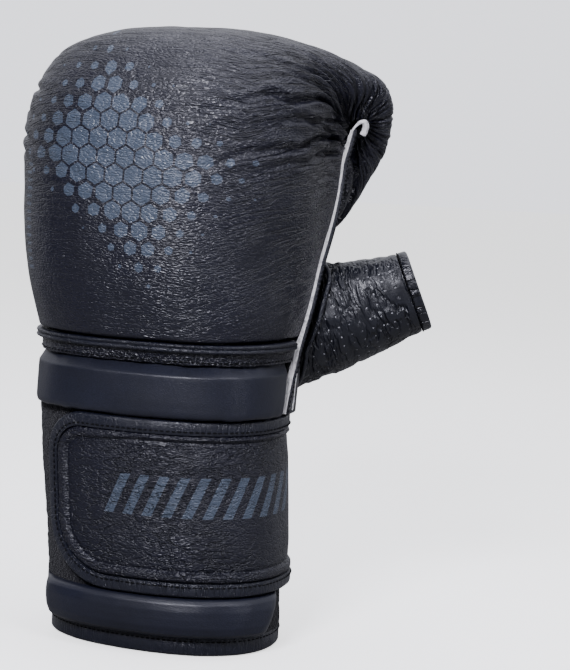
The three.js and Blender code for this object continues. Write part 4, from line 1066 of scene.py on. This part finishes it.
# A band round the cuff between two angles; rows are heights, offsets are distances outside the wall
def cuffBand(name, start, end, columns, heights, offsets, inside, material, seed, ruffle, grain=9.0,
             slant=0.0):
    run = np.linspace(lengthAt(start), lengthAt(end), columns)
    z = np.repeat(np.asarray(heights)[None], columns, axis=0)
    lowness = (z[:, -1:] - z) / (z[:, -1:] - z[:, :1])
    angle = angleAt(run[:, None] - slant * lowness * smooth(run, run[-1] - 45, run[-1])[:, None])
    outer = cuffPoint(angle, z, offsets)
    out, _ = outwardAt(angle, z)
    outer = outer + out * (layeredNoise(outer / grain, 3, seed) * ruffle)[..., None]
    inner = cuffPoint(angle, z, inside)[::4, ::4]
    uv = np.stack([wide(run - run[0], len(heights)), z], -1)
    return shell(name, outer, inner, material, uv)


# The loop cloth bulges beside the strap's tip
loop = {"from": -172, "to": 8, "columns": 241, "thickness": 1.6, "bulge": 1.5, "bulgeAt": -160,
        "bulgeReach": 12}
loopBottom = cuff["tape"] + seamGap
loopHeights = np.linspace(loopBottom, cuff["height"], 61)
loopTurns = np.linspace(loop["from"], loop["to"], loop["columns"])[:, None]
loopBulge = loop["bulge"] * np.exp(-((loopTurns - loop["bulgeAt"]) / loop["bulgeReach"]) ** 2)
loopOffsets = seamGap + loop["thickness"] + loopBulge * smooth(loopHeights, 40, 85)[None]
loopPanel = cuffBand("loop_panel", loop["from"], loop["to"], loop["columns"], loopHeights, loopOffsets,
                     seamGap, loopCloth, 107, 0.3, 2.2)
stands(loopPanel, "loop_fabric", "loop_panel")

# Lower pad: a smooth rounded bar that thins out at both ends
strap = {"bottom": 27.0, "thickness": 3.0, "inside": 2.3, "tipAngle": -131, "rootAngle": 168, "tipTop": 20.0,
         "tipBottom": 30.0, "tape": 6.0, "tapeThickness": 4.0}
bar = {"from": -152, "to": -2, "columns": 241, "thickness": 5.5, "slant": 9.5}
barUp = np.linspace(0, 1, 33)
barRise = np.interp(barUp, [0, 0.04, 0.12, 0.3, 0.5, 0.7, 0.88, 0.97, 1.0],
                    [0.2, 0.5, 0.78, 0.97, 1.0, 0.98, 0.84, 0.6, 0.42])
barShare = np.linspace(0, 1, bar["columns"])
barEnd = np.clip((1 - barShare) / 0.06, 0, 1)
barFade = (0.05 + 0.95 * smooth(barShare, 0, 0.13)) * (0.1 + 0.9 * np.sqrt(barEnd * (2 - barEnd)))
padHeights = loopBottom + barUp * (strap["bottom"] - 2 * seamGap - loopBottom)
padOffsets = strap["inside"] + bar["thickness"] * barFade[:, None] * barRise[None]
lowerPad = cuffBand("lower_pad", bar["from"], bar["to"], bar["columns"], padHeights, padOffsets,
                    strap["inside"], smoothFace, 109, 0.35, 18.0, bar["slant"])
stands(lowerPad, "smooth_leather", "lower_pad")
print("cuff made")

# Strap body: a raised strip runs just inside the binding, then a groove
bodyInset = strap["tape"] + seamGap
bodyStart, bodyEnd = lengthAt(strap["tipAngle"]) + bodyInset, lengthAt(strap["rootAngle"]) - bodyInset
bodyBottom, bodyTop = strap["bottom"] + bodyInset, cuff["height"] - seamGap - bodyInset
span = bodyEnd - bodyStart
topRadius, lowRadius = strap["tipTop"] - bodyInset, strap["tipBottom"] - bodyInset
bodyStops = np.concatenate([lowRadius * (1 - np.cos(np.linspace(0, math.pi / 2, 41)[:-1])),
                            np.linspace(lowRadius, span, 321)])


def tipInset(radius):
    inTip = np.clip(radius - bodyStops, 0, radius)
    return radius - np.sqrt(radius ** 2 - inTip ** 2)


across = np.linspace(0, 1, 81)
lowRim, topRim = bodyBottom + tipInset(lowRadius), bodyTop - tipInset(topRadius)
bodyZ = between(lowRim[:, None], topRim[:, None], across[None])
stopGrid = wide(bodyStops, 81)
fromMiddle = bodyZ - (bodyBottom + bodyTop) / 2
radius = np.where(fromMiddle > 0, topRadius, lowRadius)
cornerX = radius - stopGrid
cornerZ = np.abs(fromMiddle) - (bodyTop - bodyBottom) / 2 + radius
fromRim = radius - np.hypot(np.maximum(cornerX, 0), np.maximum(cornerZ, 0)) - \
    np.minimum(np.maximum(cornerX, cornerZ), 0)
rimWidth = 1.9 + 1.7 * (1 - smooth(stopGrid, 14, 40) * smooth(fromMiddle, -6, 16))
ridge = 1.15 * smooth(fromRim, 0.2, 1.0) * (1 - smooth(fromRim, rimWidth, rimWidth + 0.9))
groove = -0.5 * np.exp(-((fromRim - rimWidth - 1.3) / 0.5) ** 2)
bodyAngle = angleAt(bodyStart + stopGrid)
bodyLift = strap["inside"] + strap["thickness"] - 0.25 + ridge + groove + 0.35 * smooth(fromRim, 5.5, 14)
bodyOuter = cuffPoint(bodyAngle, bodyZ, bodyLift)
bodyOut, _ = outwardAt(bodyAngle, bodyZ)
bodyWave = layeredNoise(bodyOuter / 24, 3, 113) * 0.4 * smooth(fromRim, 2, 12)
bodyOuter = bodyOuter + bodyOut * bodyWave[..., None]
bodyInner = cuffPoint(bodyAngle, bodyZ, strap["inside"])[::4, ::4]
strapBody = shell("closure_strap", bodyOuter, bodyInner, strapGrain, np.stack([stopGrid, bodyZ], -1))
stands(strapBody, "grain_leather", "closure_strap")

# Its binding, from the root along the top, round the tip and back along the bottom
tipTurn = np.linspace(0, math.pi / 2, 31)
topStops = np.linspace(span, topRadius, 301)[:-1]
lowStops = np.linspace(lowRadius, span, 301)[1:]
tipCos, tipSin = np.cos(tipTurn), np.sin(tipTurn)
rimStop = np.concatenate([topStops, topRadius * (1 - tipSin), lowRadius * (1 - tipCos), lowStops])
rimZ = np.concatenate([topStops * 0 + bodyTop, bodyTop - topRadius * (1 - tipCos),
                       bodyBottom + lowRadius * (1 - tipSin), lowStops * 0 + bodyBottom])
rimSide = np.concatenate([topStops * 0, -tipSin, -tipCos, lowStops * 0])
rimUp = np.concatenate([topStops * 0 + 1, tipCos, -tipSin, lowStops * 0 - 1])
rimAngle = angleAt(bodyStart + rimStop)
rimLine = cuffPoint(rimAngle, rimZ, strap["inside"] + strap["tapeThickness"] / 2)
rimOut, rimAlong = outwardAt(rimAngle, rimZ)
rimAcross = rimAlong * rimSide[:, None] + np.array([0, 0, 1.0]) * rimUp[:, None]
rimAcross /= np.linalg.norm(rimAcross, axis=1, keepdims=True)
strapBinding = tape("strap_binding", rimLine, rimAcross, rimOut, strap["tape"] + seamGap,
                    strap["tapeThickness"], seamGap, 117)
stands(strapBinding, "binding_tape", "strap_binding")
stitches(rimLine + rimAcross * 1.7 + rimOut * strap["tapeThickness"] / 2, rimOut, 2.5, 1.8, 0.34, 0.16)

# Patch that holds the strap's root, with a box of stitches
root = {"from": 169, "to": 182, "thickness": 1.0, "columns": 33}
rootHeights = np.linspace(strap["bottom"], cuff["height"] - seamGap, 61)
rootEdge = np.minimum(rootHeights - rootHeights[0], rootHeights[-1] - rootHeights)
rootLift = strap["inside"] + root["thickness"]
rootOffsets = rootLift - 0.5 * (1 - smooth(rootEdge, 0, 1.5))[None]
strapRoot = cuffBand("strap_root", root["from"], root["to"], root["columns"], rootHeights, rootOffsets,
                     seamGap, plainGrain, 119, 0.12)
stands(strapRoot, "binding_tape", "strap_root")
lowLeft, highLeft, highRight, lowRight = (170.2, 32.0), (170.2, 98.0), (180.8, 98.0), (180.8, 32.0)
box = [lowLeft, highLeft, highRight, lowRight, lowLeft, highRight, lowRight, highLeft]
for (a, low), (b, high) in zip(box, box[1:]):
    boxAngles = angleAt(np.linspace(lengthAt(a), lengthAt(b), 40))
    boxZ = np.linspace(low, high, 40)
    boxLine = cuffPoint(boxAngles, boxZ, rootLift)
    stitches(boxLine, outwardAt(boxAngles, boxZ)[0], 2.6, 1.8, 0.28, 0.12)

threadPoints, threadFaces, used = [], [], 0
for points, faces in stitchSets:
    threadPoints.append(points)
    threadFaces += [[used + k for k in face] for face in faces]
    used += len(points)
threads = addMesh("threads", np.concatenate(threadPoints), threadFaces, thread)
print("strap made", len(stitchSets), "stitches")

# The floor is bright where the camera sees it and darker in reflections, so that they stay soft
stageMaterial, stage, _ = newMaterial("stage_white")
seenDirectly = stage.node("ShaderNodeLightPath").outputs["Is Camera Ray"]
stage.surface({"Base Color": stage.mix(seenDirectly, shade((0.2, 0.2, 0.2)), shade((0.9, 0.9, 0.9))),
               "Roughness": 0.9, "Specular IOR Level": 0.1, "Emission Color": shade((1.0, 1.0, 1.0)),
               "Emission Strength": stage.math("MULTIPLY", seenDirectly, 1.2)})
floorMesh = bpy.data.meshes.new("floor")
floorMesh.from_pydata([(-6, -6, 0), (6, -6, 0), (6, 6, 0), (-6, 6, 0)], [], [(0, 1, 2, 3)])
floor = bpy.data.objects.new("floor", floorMesh)
floor.data.materials.append(stageMaterial)
bpy.context.collection.objects.link(floor)

# The studio is bright behind and above the glove and dark on the near side
world = bpy.data.worlds.new("studio")
world.use_nodes = True
sky = Graph(world.node_tree)
direction = sky.node("ShaderNodeTexCoord").outputs["Generated"]
facing = sky.vectorMath("DOT_PRODUCT", direction, (0.02, 0.66, 0.75))
glow = sky.ramp(facing, 0.0, 0.65, 0.02, 1.0, "SMOOTHSTEP")
seenDirectly = sky.node("ShaderNodeLightPath").outputs["Is Camera Ray"]
background = world.node_tree.nodes["Background"]
sky.put(sky.mix(seenDirectly, glow, 1.9, "FLOAT"), background.inputs["Strength"])
sky.put(shade((0.92, 0.93, 1.0)), background.inputs["Color"])
bpy.context.scene.world = world


# A lamp or a camera at a place, looking along a direction
def aimed(name, data, at, look, upHint=(0, 0, 1.0)):
    look = look / np.linalg.norm(look)
    right = np.cross(look, upHint)
    right /= np.linalg.norm(right)
    matrix = np.eye(4)
    matrix[:3] = np.stack([right, np.cross(right, look), -look, at], 1)
    made = bpy.data.objects.new(name, data)
    made.matrix_world = Matrix(matrix.tolist())
    bpy.context.collection.objects.link(made)
    return made


# Columns: place, aim, width, height, watts
lights = {
    "key": ((0.04, -0.8, 0.62), (0, 0, 0.19), 0.28, 0.22, 14),
    "side": ((0.62, -0.3, 0.72), (0.05, 0, 0.22), 0.26, 0.26, 3.2),
    "overhead": ((0.0, 0.3, 1.3), (0, 0.2, 0), 1.2, 1.2, 12),
    "fill": ((0.9, -0.3, 0.35), (0, 0, 0.13), 0.12, 0.6, 1.2),
    "rim": ((-0.8, 0.12, 0.3), (0, 0, 0.14), 0.15, 0.9, 0.7)}
for name, (at, aim, width, height, watts) in lights.items():
    light = bpy.data.lights.new(name, "AREA")
    light.color = (0.89, 0.89, 1.0)
    light.shape, light.size, light.size_y, light.energy = "RECTANGLE", width, height, watts
    aimed(name, light, at, np.subtract(aim, at))

# The camera; focal, aside, above and tall are in the photograph's pixels
view = {"aim": (0.0, 0.0, 0.135), "azimuth": 23.0, "elevation": 6.0, "distance": 0.85, "roll": 2.4,
        "focal": 1895.0, "aside": 70.4, "above": 0.4, "tall": 670.0}
azimuth, elevation, roll = (math.radians(view[key]) for key in ("azimuth", "elevation", "roll"))
toCamera = np.array([math.sin(azimuth) * math.cos(elevation), -math.cos(azimuth) * math.cos(elevation),
                     math.sin(elevation)])
right = np.cross(-toCamera, [0, 0, 1.0])
right /= np.linalg.norm(right)
upward = np.cross(right, -toCamera)
rolledRight = right * math.cos(roll) + upward * math.sin(roll)
rolledUp = upward * math.cos(roll) - right * math.sin(roll)
look = (rolledRight * view["aside"] + rolledUp * view["above"]) / view["focal"] - toCamera
lens = bpy.data.cameras.new("camera")
lens.sensor_fit, lens.sensor_height = "VERTICAL", 24.0
lens.lens = lens.sensor_height * view["focal"] / view["tall"]
eye = np.array(view["aim"]) + toCamera * view["distance"]
bpy.context.scene.camera = aimed("camera", lens, eye, look, rolledUp)
